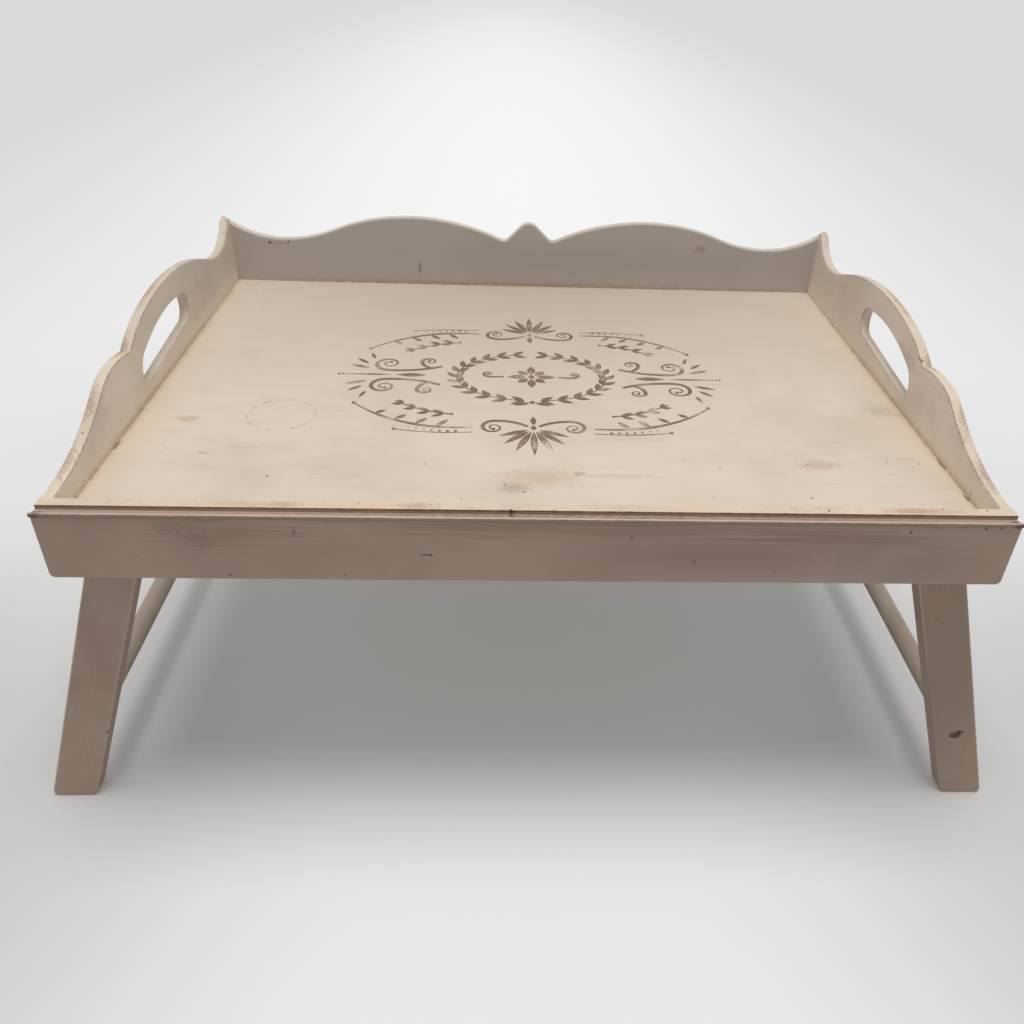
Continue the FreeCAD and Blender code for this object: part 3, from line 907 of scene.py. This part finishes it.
    def front_marks(self) -> tuple[Mark, ...]:
        """Dirt and painted shade in the moulding, soft browner patches, scuffs and scratches on
        the front.

        Returns:
            The marks.
        """
        y, dark = FRONT_FACE, "#4A392F"
        marks = [
            # Painted shade and dirt in the cove, and the nose darkened as painted shade, with its
            # dark line.
            Mark((0.0, -221.6, 274.6), (ENDLESS, 4.0, 3.0), "#A08E84", 0.6, ragged=0.25,
                 grain=Grain.SLOW),
            Mark((-40.0, -221.5, 275.0), (170.0, 4.0, 3.0), "#6B584C", 0.4, ragged=1.3,
                 soft=0.9),
            Mark((150.0, -221.5, 275.0), (140.0, 4.0, 3.0), "#6B584C", 0.35, ragged=1.3,
                 soft=0.9),
            Mark((0.0, -228.4, 274.7), (ENDLESS, 1.7, 1.75), "#A08A79", 0.9, ragged=0.12,
                 soft=0.35),
            Mark((0.0, -228.1, 275.95), (ENDLESS, 1.2, 0.45), dark, 0.65, ragged=0.5,
                 soft=0.8),
            # The moulding's ends.
            Mark((-300.0, -225.5, 274.6), (7.0, 5.0, 2.6), dark, 0.85, ragged=0.5),
            Mark((300.0, -225.5, 274.6), (9.0, 5.0, 2.6), dark, 0.85, ragged=0.5),
            # Slow patches of browner and greyer paint.
            Mark((110.0, y, 250.0), (120.0, 9.0, 24.0), "#9C8079", 0.5, grain=Grain.SLOW,
                 ragged=0.7, soft=1.0),
            Mark((240.0, y, 245.0), (60.0, 9.0, 30.0), "#A5988A", 0.5, grain=Grain.SLOW,
                 ragged=0.7, soft=1.0),
            Mark((40.0, y, 268.0), (190.0, 6.0, 7.5), "#977B68", 0.38, grain=Grain.BRISTLE,
                 ragged=1.2, soft=0.9),
            Mark((-190.0, y, 262.0), (60.0, 6.0, 12.0), "#9A7D69", 0.32, grain=Grain.BRISTLE,
                 ragged=1.3, soft=0.9),
            Mark((190.0, y, 263.0), (80.0, 6.0, 9.0), "#8F7466", 0.4, grain=Grain.BRISTLE,
                 ragged=1.2, soft=0.9),
            # Scuffs, scratches and a dent.
            Mark((-222.0, y, 267.0), (11.0, 6.0, 4.0), "#86695A", 0.22, ragged=1.6,
                 grain=Grain.FINE, soft=0.4),
            Mark((-206.0, y, 258.0), (12.0, 6.0, 5.0), "#86695A", 0.20, ragged=1.6,
                 grain=Grain.FINE, soft=0.4),
            Mark((-148.0, y, 265.0), (1.2, 6.0, 4.0), "#6B5545", 0.35, ragged=0.9,
                 grain=Grain.FINE),
            Mark((-242.0, y, 242.7), (6.5, 6.0, 0.5), "#75604F", 0.32, ragged=0.9,
                 turn_deg=(0.0, 57.7, 0.0)),
            Mark((-69.0, y, 248.5), (4.6, 6.0, 0.7), dark, 0.7, ragged=0.5),
        ]
        return tuple(marks)

    def front_specks(self) -> tuple[Speck, ...]:
        """Nail holes and specks on the moulded front."""
        return ((-17.1, -220.6, 274.8, 1.7), (-66.0, FRONT_FACE, 248.4, 1.0),
                (57.5, FRONT_FACE, 262.9, 1.0), (98.3, FRONT_FACE, 244.9, 0.9),
                (278.0, -227.6, 272.6, 1.2), (287.5, -227.6, 272.9, 0.9),
                (181.0, -220.0, 275.2, 0.9), (264.0, -226.9, 273.2, 0.9),
                (150.0, FRONT_FACE, 238.0, 0.8), (-191.0, FRONT_FACE, 231.6, 0.8),
                (-120.0, FRONT_FACE, 232.6, 0.7), (231.0, FRONT_FACE, 269.0, 0.9))

    def rim_marks(self) -> tuple[Mark, ...]:
        """Painted shade and dirt behind the moulding, and peach and brown stains on the strip in
        front of the floor.

        Returns:
            The marks.
        """
        y, z = -215.5, RIM
        # Painted shade and dirt at the wall's outer top edge, behind the moulding: the face
        # greyed where it lies in shadow, a dark line in the joint, and dirty patches.
        quirk = (Mark((0.0, WALL_FACE, 274.0), (ENDLESS, 0.5, 3.2), "#A08E84", 0.7,
                      ragged=0.2),
                 Mark((0.0, WALL_FACE - 0.3, 276.2), (ENDLESS, 0.7, 0.85), "#4E3C30", 0.85,
                      ragged=0.45, soft=0.8),
                 Mark((-60.0, WALL_FACE, 276.4), (190.0, 1.5, 0.9), "#6E5646", 0.5, ragged=1.2,
                      soft=0.8),
                 Mark((200.0, WALL_FACE, 276.4), (110.0, 1.5, 0.9), "#6E5646", 0.5, ragged=1.2,
                      soft=0.8))
        # Stains on the top: place along it, half length, colour, strength, raggedness and grain.
        rows = ((-180.0, 30.0, "#CDA884", 0.55, 0.8, Grain.MILD),
                (-120.0, 60.0, "#DDB995", 0.4, 0.8, Grain.SLOW),
                (60.0, 90.0, "#DFBE9C", 0.4, 0.8, Grain.SLOW),
                (-75.0, 14.0, "#9B7B5F", 0.4, 1.5, Grain.FINE),
                (-155.0, 12.0, "#9B7B5F", 0.4, 1.5, Grain.FINE),
                (234.0, 22.0, "#A67A60", 0.45, 1.5, Grain.FINE),
                (252.0, 34.0, "#B48C6E", 0.35, 1.2, Grain.MILD))
        return quirk + tuple(Mark((x, y, z), (reach, 5.0, 4.0), shade, strength, ragged=ragged,
                                  grain=grain, soft=0.7)
                             for x, reach, shade, strength, ragged, grain in rows)

    def rim_specks(self) -> tuple[Speck, ...]:
        """Single specks on the front strip."""
        return ((181.0, -216.0, RIM, 1.0), (255.2, -212.6, RIM, 0.9),
                (282.9, -214.0, RIM, 0.8), (-17.1, -219.0, RIM - 1.0, 1.6),
                (-110.0, -213.0, RIM, 0.7))

    def side_marks(self) -> tuple[Mark, ...]:
        """Marks on the inner faces of the side panels.

        Returns:
            The marks.
        """
        right, low = SIDE_FACE, "#BBA588"
        marks = [
            # Greyer paint towards the back, then a scratch, a smear and nicks.
            Mark((-right, 150.0, 290.0), (9.0, 230.0, 90.0), "#BFB3A6", 0.6, grain=Grain.SLOW,
                 ragged=0.5, soft=1.0),
            Mark((right, 170.0, 290.0), (9.0, 200.0, 90.0), "#C2B6A9", 0.35, grain=Grain.SLOW,
                 ragged=0.5, soft=1.0),
            Mark((right, -58.5, 308.5), (4.0, 11.0, 0.55), "#54402F", 0.75, ragged=0.6,
                 turn_deg=(12.0, 0.0, 0.0)),
            Mark((right, -30.0, 300.0), (5.0, 26.0, 12.0), "#B79C7C", 0.4, ragged=0.8, soft=1.0),
            Mark((-right, 99.0, 302.0), (4.0, 1.6, 3.0), "#8F735B", 0.7, ragged=0.8),
            Mark((right, -176.0, 266.0), (3.0, 1.5, 4.5), "#4A382B", 0.6, ragged=0.8,
                 grain=Grain.FINE),
        ]
        # Rubbed freckles on the top edges: place along them, height, half length and strength.
        freckled = ((20.0, 324.0, 44.0, 0.5), (-62.0, 308.0, 18.0, 0.55),
                    (-118.0, 296.0, 34.0, 0.45), (-176.0, 281.0, 26.0, 0.5))
        # Their middle lies this many times as far out as the inner face.
        edge = 1.025
        for side in (-right, right):
            marks += [Mark((side * edge, y, z), (5.8, half, 9.0), "#94714F", strength,
                           ragged=1.25, grain=Grain.FINE, soft=0.6)
                      for y, z, half, strength in freckled]
            # A paler foot, with dirt where it meets the floor.
            marks += [
                Mark((side, 0.0, FLOOR + 4.0), (5.0, ENDLESS, 16.0), "#EBDCC8", 0.6,
                     grain=Grain.SLOW, ragged=0.4, soft=1.0),
                Mark((side, -60.0, FLOOR), (5.0, 260.0, 7.0), low, 0.4, ragged=1.0, soft=1.0),
            ]
        return tuple(marks)

    def side_specks(self) -> tuple[Speck, ...]:
        """Single specks on the side panels' tops and slots."""
        return ((-296.5, -114.5, 296.8, 1.5), (-297.0, 11.6, 325.0, 1.2),
                (297.0, 21.6, 327.0, 1.2), (297.0, 57.0, 284.0, 1.4),
                (297.0, -34.0, 312.5, 1.2), (-297.0, -150.0, 287.5, 1.0),
                (-293.5, -62.0, 279.0, 1.3))

    def back_marks(self) -> tuple[Mark, ...]:
        """Painted shade on the inner face, and chips and smudges on the back panel.

        Returns:
            The marks.
        """
        y = BACK_FACE
        return (
            # Painted shade: the whole inner face greyed, as it faces away from the light, and a
            # darker cloud in it.
            Mark((0.0, y, 290.0), (ENDLESS, 1.3, ENDLESS), "#AFA8A2", 0.86, ragged=0.0,
                 soft=0.3),
            Mark((60.0, y, 290.0), (330.0, 1.3, 30.0), "#A29A93", 0.5, grain=Grain.SLOW,
                 ragged=0.9, soft=1.0),
            # A scratch, a drip, a smudge and dirt along the floor.
            Mark((-247.0, y, 300.0), (11.0, 5.0, 1.6), "#8A7260", 0.3, ragged=1.2),
            Mark((-109.0, y, 277.5), (1.6, 5.0, 8.0), "#74604F", 0.6, ragged=0.9),
            Mark((174.0, y, 304.0), (9.0, 5.0, 4.0), "#A08A76", 0.6, ragged=0.9),
            Mark((0.0, y, FLOOR), (330.0, 5.0, 7.0), "#A98A69", 0.5, ragged=1.0, soft=1.0),
        )

    def back_specks(self) -> tuple[Speck, ...]:
        """Nail holes in the back panel."""
        return ((-256.4, BACK_FACE, 300.6, 1.6), (-238.0, BACK_FACE, 301.4, 1.2))

    def dress(self) -> None:
        """Finishes the box's nodes."""
        floor = ChalkPaint("floor_chalk_paint", Stroke.ALONG_X, paint=self.paint,
                           below_share=0.55, marks=self.floor_marks(),
                           specks=self.floor_specks())
        dress(["floor_panel"], floor.build())
        # Painted shade: the moulded front gets a darker, browner coat than the rest.
        front = ChalkPaint("front_shaded_chalk_paint", Stroke.ALONG_X, paint=self.front_shaded_paint,
                           shade="#AE9584", ridge="#CFBCAB", run_mm=70.0, bristle_share=0.14,
                           band_share=0.14, board=Board.ACROSS_Y, arris_highlight_share=0.25,
                           marks=self.front_marks(), specks=self.front_specks())
        dress(["front_fascia"], front.build())
        rim = ChalkPaint("rim_chalk_paint", Stroke.ALONG_X, paint=self.paint, top="#E1CDB6",
                         board=Board.ACROSS_Y, arris_share=0.35, top_share=0.9,
                         outer_share=1.0, marks=self.rim_marks(), specks=self.rim_specks())
        dress(["front_wall"], rim.build())
        back = ChalkPaint("back_chalk_paint", Stroke.ALONG_X, paint=self.back_paint,
                          shade="#BFB1A2", bristle_share=0.07, band_share=0.08,
                          cloud_share=0.6, board=Board.ACROSS_Y, arris_share=0.45,
                          arris_highlight_share=0.4, top_share=0.7, outer_share=0.8,
                          marks=self.back_marks(), specks=self.back_specks())
        dress(["back_panel"], back.build())
        sides = ChalkPaint("side_chalk_paint", Stroke.ALONG_Y, paint=self.side_paint,
                           shade="#C0B2A3", board=Board.ACROSS_X, arris_share=0.62,
                           arris_highlight_share=0.4, top_share=0.9, dirt_share=0.2, outer_share=1.0,
                           marks=self.side_marks(), specks=self.side_specks())
        dress(["left_side_panel", "right_side_panel"], sides.build())
        rails = ChalkPaint("rail_chalk_paint", Stroke.ALONG_Y, paint=self.rail_paint,
                           below_share=0.45)
        dress(["left_stop_rail", "right_stop_rail"], rails.build())
        zinc = DullZinc("bolt_zinc", rust_share=0.2).build()
        for side in ("left", "right"):
            names = ("rail_screws", "pivot_bolts", "pivot_spacers", "pivot_washers", "pivot_nuts")
            dress([f"{side}_{name}" for name in names], zinc)


@dataclass
class LegFrame:
    """One folding frame: two legs joined by a round stretcher.

    Attributes:
        side: Which frame it is, left or right.
        paint: Colour of its coat, darker and browner than the tray's as painted shade.
        shade: Colour of its deeper clouds.
        ridge: Colour of its bristle lines.
        rod_paint: Colour of the stretcher, paler than the legs' coat with its painted shade.
        dirt_share: How strong the dirt in its joints is.
    """

    side: str
    paint: str = "#C7AE9B"
    shade: str = "#B0967F"
    ridge: str = "#D0BEAE"
    rod_paint: str = "#D8C9B6"
    dirt_share: float = 0.35

    def marks(self) -> tuple[Mark, ...]:
        """Chips round the open screw well, scratches and nicks.

        Returns:
            The marks of this frame's front leg.
        """
        dark, brown, (x, y, z) = "#3E2E24", "#6B5545", SCREW
        if self.side == "left":
            return (
                Mark((-309.6, y, 70.0), (1.4, 3.0, 2.6), brown, 0.6, ragged=0.6),
                Mark((-321.6, y, 35.0), (1.4, 3.0, 2.0), brown, 0.5, ragged=0.6),
                Mark((-300.0, y, 150.0), (16.0, 4.0, 60.0), "#AE9182", 0.4, grain=Grain.SLOW,
                     ragged=0.7, soft=1.0),
            )
        return (
            Mark((300.0, y, 110.0), (80.0, 4.0, 160.0), "#9C8778", 0.6, grain=Grain.SLOW,
                 ragged=0.5, soft=1.0),
            # The open screw well: a pale rim, then its dark edge, shadow and split.
            Mark((x, y, z), (5.2, 4.0, 4.6), "#D5C5B5", 0.3, form=MarkForm.RING, ragged=0.3),
            Mark((x, y, z), (4.6, 4.0, 3.9), dark, 0.85, form=MarkForm.RING, ragged=0.3,
                 soft=0.22, grain=Grain.FINE),
            Mark((x + 2.6, y, z + 3.4), (4.2, 4.0, 1.4), dark, 0.8, ragged=0.4),
            Mark((x - 4.5, y, z - 1.6), (2.0, 4.0, 1.0), dark, 0.6, ragged=0.5),
            # A dent under it, a ring higher up and a scuffed foot.
            Mark((324.0, y, 57.0), (3.8, 4.0, 2.6), "#6E594A", 0.5, form=MarkForm.RING,
                 ragged=0.5, soft=0.10, turn_deg=(0.0, 25.0, 0.0)),
            Mark((284.0, y, 187.0), (2.8, 4.0, 7.0), "#7C6656", 0.35, form=MarkForm.RING,
                 ragged=0.5, soft=0.12, turn_deg=(0.0, 12.0, 0.0)),
            Mark((340.0, y, 12.0), (13.0, 4.0, 5.0), "#8B7463", 0.14, ragged=1.5,
                 grain=Grain.FINE),
        )

    def dress(self) -> None:
        """Finishes the frame's nodes."""
        way = Stroke.DOWN_LEFT_LEG if self.side == "left" else Stroke.DOWN_RIGHT_LEG
        # Painted shade: the legs and their plugs get a darker, browner coat than the tray.
        plain = ChalkPaint(f"{self.side}_plug_shaded_chalk_paint", way, paint=self.paint,
                           shade=self.shade, ridge=self.ridge, dirt_share=0.0)
        leg = replace(plain, name=f"{self.side}_leg_shaded_chalk_paint", dirt_share=self.dirt_share,
                      board=Board.ACROSS_Y, arris_highlight_share=0.55, arris_share=0.3,
                      marks=self.marks())
        rod = replace(plain, name=f"{self.side}_rod_chalk_paint", stroke=Stroke.ALONG_Y,
                      paint=self.rod_paint, dirt_share=self.dirt_share)
        dress([f"{self.side}_filler_plugs"], plain.build())
        dress([f"{self.side}_{name}" for name in ("front_leg", "rear_leg")], leg.build())
        dress([f"{self.side}_stretcher"], rod.build())
        screws = DullZinc(f"{self.side}_screw_steel", zinc="#DAD1C4", rust_share=0.12).build()
        dress([f"{self.side}_stretcher_screws"], screws)


@dataclass(frozen=True)
class Brush:
    """A brush that draws strokes on one curve, in the drawing's own quarter or mirrored.

    Attributes:
        curve: The curve that collects the strokes.
        grow: How much larger the print is than it was drawn.
        weight: How much bolder its strokes are than they were drawn.
        across: One, or minus one to draw on the left.
        up: One, or minus one to draw below.
    """

    curve: bpy.types.Curve
    grow: float
    weight: float
    across: float = 1.0
    up: float = 1.0

    def both_sides(self) -> tuple["Brush", "Brush"]:
        """The brush on the right, and on the left."""
        return self, replace(self, across=-self.across)

    def both_ends(self) -> tuple["Brush", "Brush"]:
        """The brush above, and below."""
        return self, replace(self, up=-self.up)

    def stroke(self, points: Sequence[Flat], halves_mm: Sequence[float]) -> None:
        """Adds one stroke with a changing width.

        Args:
            points: The stroke's line.
            halves_mm: Its half width at each point.
        """
        wide, high = self.across * self.grow * MM, self.up * self.grow * MM
        spline = self.curve.splines.new("NURBS")
        spline.points.add(len(points) - 1)
        for knot, (u, v), half in zip(spline.points, points, halves_mm):
            knot.co = (wide * u, high * v, 0.0, 1.0)
            knot.radius = self.weight * half
        spline.order_u = min(4, len(points))
        spline.use_endpoint_u = True

    def leaf(self, root: Flat, heading_deg: float, length_mm: float, half_mm: float) -> None:
        """Adds one pointed leaf.

        Args:
            root: Where it grows from.
            heading_deg: The way it points.
            length_mm: Its length.
            half_mm: Its half width.
        """
        outline = ((0.0, 0.1), (0.15, 0.7), (0.45, 1.35), (0.75, 0.7), (1.0, 0.05))
        self.stroke([polar(along * length_mm, heading_deg, root) for along, _ in outline],
                    [half * half_mm for _, half in outline])

    def dot(self, at: Flat, half_mm: float) -> None:
        """Adds one round dot."""
        outline = ((-0.9, 0.25), (-0.8, 0.7), (0.0, 1.25), (0.8, 0.7), (0.9, 0.25))
        self.stroke([(at[0] + along * half_mm, at[1]) for along, _ in outline],
                    [half * half_mm for _, half in outline])

    def scroll(self, stem: Sequence[Flat], spiral: Sequence[Flat], thin_mm: float,
               full_mm: float) -> None:
        """Adds a stem that swells, winds into a spiral and ends in a bead.

        Args:
            stem: Points before the spiral.
            spiral: The spiral's points.
            thin_mm: Half width at the stem's start and in the spiral.
            full_mm: Half width where stem and spiral meet.
        """
        swell_share, bead, bead_mm = 0.45, 1.9, 0.5
        line = [*stem, *spiral]
        last = len(line) - 1
        halves = []
        for k in range(len(line)):
            gap = abs(k - len(stem)) / last
            halves.append(thin_mm + (full_mm - thin_mm) * max(0.0, 1.0 - gap / swell_share))
        self.stroke(line, halves)
        self.dot(spiral[-1], bead * thin_mm + bead_mm)


def volute(middle: Flat, start_mm: float, start_deg: float, sweep_deg: float) -> list[Flat]:
    """Works out a spiral that winds inwards.

    Args:
        middle: The spiral's middle.
        start_mm: Its radius where it starts.
        start_deg: The bearing of its start.
        sweep_deg: How far it winds.

    Returns:
        Points from the outside in.
    """
    last_share, step_deg = 0.22, 30.0
    count = int(sweep_deg / step_deg)
    return [polar(start_mm * last_share ** (k / count), start_deg + sweep_deg * (k / count),
                  middle) for k in range(count + 1)]


@dataclass
class ScrollPrint:
    """A stencilled ornament in the middle of the floor: a leaf wreath, scrolls and two crests.

    Its parts are drawn in millimetres round its middle, in the quarter to the right and above.

    Attributes:
        tray: The tray that it is printed on.
        middle_mm: Its middle on the floor.
        floor_mm: Height of the floor.
        grow: How much larger it is than it was drawn.
        weight: How much bolder its strokes are than they were drawn.
        flatness: How much a round stroke is pressed flat.
        lift_mm: How far its edge lies over the floor.
    """

    tray: TrayBox
    middle_mm: Flat = (0.0, 2.0)
    floor_mm: float = FLOOR
    grow: float = 1.03
    weight: float = 1.3
    flatness: float = 0.035
    lift_mm: float = 0.02

    def wreath(self, brush: Brush) -> None:
        """Draws the leaf wreath and the rosette inside it.

        Args:
            brush: The brush that it is drawn with.
        """
        half_u, half_v, first_deg, last_deg, pairs = 60.0, 43.0, -84.0, 76.0, 13
        splay_deg, leaf_mm, leaf_half_mm, stem_half_mm = 34.0, 12.5, 1.9, 0.55
        for side in brush.both_sides():
            line = []
            for k in range(pairs):
                way = math.radians(first_deg + (last_deg - first_deg) * k / (pairs - 1))
                at = (half_u * math.cos(way), half_v * math.sin(way))
                slope = math.degrees(math.atan2(half_v * math.cos(way), -half_u * math.sin(way)))
                for splay in (splay_deg, -splay_deg):
                    side.leaf(at, slope + splay, leaf_mm, leaf_half_mm)
                line.append(at)
            side.stroke(line, [stem_half_mm] * pairs)
        petals, eye_mm, long_mm, short_mm, petal_half_mm = 8, 4.6, 15.0, 10.5, 2.5
        for k in range(petals):
            bearing = 360.0 / petals * k
            brush.leaf(polar(eye_mm, bearing), bearing, short_mm if k % 2 else long_mm,
                       petal_half_mm)
        brush.dot((0.0, 0.0), 2.6)
        for side in brush.both_sides():
            side.leaf((2.0, -45.5), -22.0, 13.0, 1.7)
            side.scroll([(22.0, 0.0), (27.0, -1.0)], volute((34.0, 5.0), 6.0, -90.0, 400.0),
                        0.5, 1.1)
        brush.dot((0.0, -45.0), 2.2)

    def wings(self, brush: Brush) -> None:
        """Draws the scrolls to the left and right of the wreath.

        Args:
            brush: The brush that they are drawn with.
        """
        feathers = (((130.0, 12.0), 20.0, 17.0, 1.6), ((132.0, 20.5), 44.0, 14.0, 1.4),
                    ((128.0, 30.0), 72.0, 12.0, 1.2))
        beads, bead_gap_mm = 5, 3.0
        for side in brush.both_sides():
            side.leaf((84.0, 0.0), 0.0, 24.0, 2.4)
            side.leaf((111.0, 0.0), 0.0, 36.0, 1.0)
            for k in range(beads):
                side.dot((152.5 - bead_gap_mm * k, 0.0), 1.3 - 0.2 * k)
            for quarter in side.both_ends():
                quarter.scroll([(72.0, 17.0), (82.0, 11.5), (98.0, 8.0)],
                               volute((115.0, 21.0), 13.5, -90.0, 560.0), 0.6, 1.5)
                quarter.scroll([(80.0, 13.0), (87.0, 16.0)],
                               volute((82.5, 26.0), 7.5, 0.0, 430.0), 0.5, 1.3)
                for root, heading, length, half in feathers:
                    quarter.leaf(root, heading, length, half)

    def crests(self, brush: Brush) -> None:
        """Draws a fan of leaves and long arcs over and under the wreath.

        Args:
            brush: The brush that they are drawn with.
        """
        fan_deg, fan_root_mm, fan_mm, fan_step_mm = 22.0, 5.0, 33.0, 3.6
        arcs = (([(44.0, 86.0), (70.0, 88.0), (98.0, 80.0), (122.0, 64.0), (134.0, 50.0)],
                 [0.5, 1.5, 1.2, 0.8, 0.5], 1.9),
                ([(44.0, 93.0), (72.0, 96.5), (100.0, 90.0)], [0.45, 0.7, 0.4], 1.5))
        beads, leaves = 7, 4
        for end in brush.both_ends():
            for k in range(-3, 4):
                bearing = 90.0 - fan_deg * k
                end.leaf(polar(fan_root_mm, bearing, (0.0, 87.0)), bearing,
                         fan_mm - fan_step_mm * abs(k), 1.9)
            end.dot((0.0, 85.5), 2.3)
            end.leaf((0.0, 81.0), -90.0, 13.0, 1.7)
            for quarter in end.both_sides():
                quarter.scroll([(4.0, 83.5), (10.0, 78.5), (20.0, 75.5)],
                               volute((29.0, 85.5), 10.5, -90.0, 540.0), 0.55, 1.4)
                for arc, halves, bead in arcs:
                    quarter.stroke(arc, halves)
                    quarter.dot(arc[-1], bead)
                for k in range(beads):
                    share = k / (beads - 1)
                    quarter.dot((56.0 + 34.0 * share, 92.2 - 5.4 * share ** 2), 1.5 - 0.13 * k)
                for k in range(leaves):
                    share = k / (leaves - 1)
                    root = (70.0 + 46.0 * share, 84.5 - 18.5 * share ** 1.5)
                    quarter.leaf(root, -128.0 - 16.0 * share, 13.0 - 1.2 * k, 1.6)

    def sprigs(self, brush: Brush) -> None:
        """Draws a leafy sprig in each corner between wreath, scroll and crest.

        Args:
            brush: The brush that they are drawn with.
        """
        stem = [(60.0, 66.0), (76.0, 64.0), (92.0, 56.0), (104.0, 45.0)]
        pairs = (((66.0, 65.5), -4.0, 10.5), ((77.0, 63.0), -14.0, 9.7),
                 ((88.0, 58.0), -28.0, 8.9), ((98.0, 51.0), -38.0, 8.1))
        splay_deg, half_mm = 32.0, 1.6
        for side in brush.both_sides():
            for quarter in side.both_ends():
                quarter.stroke(stem, [0.7, 0.9, 0.8, 0.5])
                for root, slope, length in pairs:
                    for splay in (splay_deg, -splay_deg):
                        quarter.leaf(root, slope + splay, length, half_mm)
                quarter.dot(stem[0], 1.4)

    def build(self) -> bpy.types.Object:
        """Makes the print as one flat piece on the floor.

        Returns:
            The finished piece.
        """
        curve = bpy.data.curves.new("scroll_strokes", "CURVE")
        curve.dimensions = "3D"
        curve.resolution_u = 4
        curve.bevel_depth = MM
        curve.bevel_resolution = 1
        curve.use_fill_caps = True
        brush = Brush(curve, self.grow, self.weight)
        for draw in (self.wreath, self.wings, self.crests, self.sprigs):
            draw(brush)
        draft = bpy.data.objects.new("scroll_strokes", curve)
        bpy.context.scene.collection.objects.link(draft)
        bpy.context.view_layer.update()
        mesh = bpy.data.meshes.new_from_object(draft)
        bpy.data.objects.remove(draft)
        place = Matrix.Translation(metres((*self.middle_mm, self.floor_mm + self.lift_mm)))
        mesh.transform(place @ Matrix.Diagonal((1.0, 1.0, self.flatness, 1.0)))
        shape = bmesh.new()
        shape.from_mesh(mesh)
        bmesh.ops.recalc_face_normals(shape, faces=shape.faces)
        shape.to_mesh(mesh)
        shape.free()
        piece = bpy.data.objects.new("scroll_print", mesh)
        bpy.context.scene.collection.objects.link(piece)
        ink = StencilInk("stencil_ink", Stroke.ALONG_X, paint=self.tray.paint,
                         marks=self.tray.floor_marks())
        mesh.materials.clear()
        mesh.materials.append(ink.build())
        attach(piece, "tray")
        LOG.info("scroll_print: %d faces", len(mesh.polygons))
        return piece


@dataclass
class Studio:
    """Pale paper, one soft lamp overhead, the even light of the room, and the camera.

    Attributes:
        eye_mm: Where the camera stands.
        yaw_deg: Its turn to the right of +Y.
        pitch_deg: Its tilt down.
        roll_deg: Its turn about its own line of sight.
        focal_px: Its focal length in pixels of the picture.
        middle_px: Where its line of sight meets the picture.
        picture_px: The picture's side.
        sensor_mm: The sensor's side.
        clip_m: The nearest and farthest that the camera sees.
        lamp_mm: Where the lamp hangs.
        lamp_wide_m: How wide it is.
        lamp_watts: Its power.
        room: Strength of the even light.
        backdrop: Colour of the room that the eye sees past the paper.
        paper_side_m: The side of the paper floor.
    """

    eye_mm: Point = (-21.48, -670.67, 578.19)
    yaw_deg: float = 3.225
    pitch_deg: float = 33.816
    roll_deg: float = 2.442
    focal_px: float = 889.0
    middle_px: Flat = (545.4, 512.9)
    picture_px: float = 1024.0
    sensor_mm: float = 36.0
    clip_m: Flat = (0.01, 100.0)
    lamp_mm: Point = (0.0, -300.0, 1900.0)
    lamp_wide_m: float = 0.95
    lamp_watts: float = 19.0
    room: float = 0.33
    backdrop: str = "#E7E7E7"
    paper_side_m: float = 60.0

    def camera(self) -> None:
        """Makes the camera and looks through it."""
        yaw, pitch, roll = turns((self.yaw_deg, self.pitch_deg, self.roll_deg))
        ahead = Vector((math.sin(yaw) * math.cos(pitch), math.cos(yaw) * math.cos(pitch),
                        -math.sin(pitch)))
        right = Vector((math.cos(yaw), -math.sin(yaw), 0.0))
        up = right.cross(ahead)
        turned_right = right * math.cos(roll) + up * math.sin(roll)
        turned_up = up * math.cos(roll) - right * math.sin(roll)
        axes = Matrix((turned_right, turned_up, -ahead)).transposed()
        data = bpy.data.cameras.new("camera")
        data.sensor_width = self.sensor_mm
        data.lens = self.focal_px / self.picture_px * self.sensor_mm
        data.shift_x = (self.picture_px / 2.0 - self.middle_px[0]) / self.picture_px
        data.shift_y = (self.middle_px[1] - self.picture_px / 2.0) / self.picture_px
        data.clip_start, data.clip_end = self.clip_m
        camera = bpy.data.objects.new("camera", data)
        camera.matrix_world = Matrix.Translation(metres(self.eye_mm)) @ axes.to_4x4()
        bpy.context.scene.collection.objects.link(camera)
        bpy.context.scene.camera = camera

    def lights(self) -> None:
        """Makes the lamp and the even light of the room."""
        data = bpy.data.lights.new("overhead", "AREA")
        data.shape = "DISK"
        data.size = self.lamp_wide_m
        data.energy = self.lamp_watts
        lamp = bpy.data.objects.new("overhead", data)
        lamp.location = metres(self.lamp_mm)
        lamp.visible_camera = False
        bpy.context.scene.collection.objects.link(lamp)
        world = bpy.data.worlds.new("room")
        ground = Ground.blank(world)
        lit = ground.add("Background", {"Color": linear("#FFFFFF"), "Strength": self.room})
        seen = ground.add("Background", {"Color": linear(self.backdrop), "Strength": 1.0})
        mixed = ground.add("MixShader", {0: ground.looked_at(), 1: lit, 2: seen})
        ground.add("OutputWorld", {"Surface": mixed})
        bpy.context.scene.world = world

    def floor(self) -> None:
        """Makes the pale paper floor, which keeps the object's shadow."""
        shape = bmesh.new()
        bmesh.ops.create_grid(shape, x_segments=1, y_segments=1, size=self.paper_side_m / 2.0)
        mesh = bpy.data.meshes.new("paper_floor")
        shape.to_mesh(mesh)
        shape.free()
        mesh.materials.append(PalePaper("pale_paper").build())
        piece = bpy.data.objects.new("paper_floor", mesh)
        bpy.context.scene.collection.objects.link(piece)

    def build(self) -> None:
        """Makes the whole studio."""
        self.camera()
        self.lights()
        self.floor()
        bpy.context.scene.view_settings.view_transform = "Standard"


def main() -> None:
    """Builds the studio, dresses the frame and adds what the frame leaves to the looks."""
    logging.basicConfig(level=logging.INFO, format="%(name)s: %(message)s")
    Studio().build()
    tray = TrayBox()
    tray.dress()
    for side in ("left", "right"):
        LegFrame(side).dress()
    ScrollPrint(tray).build()


if __name__ == "__main__":
    main()
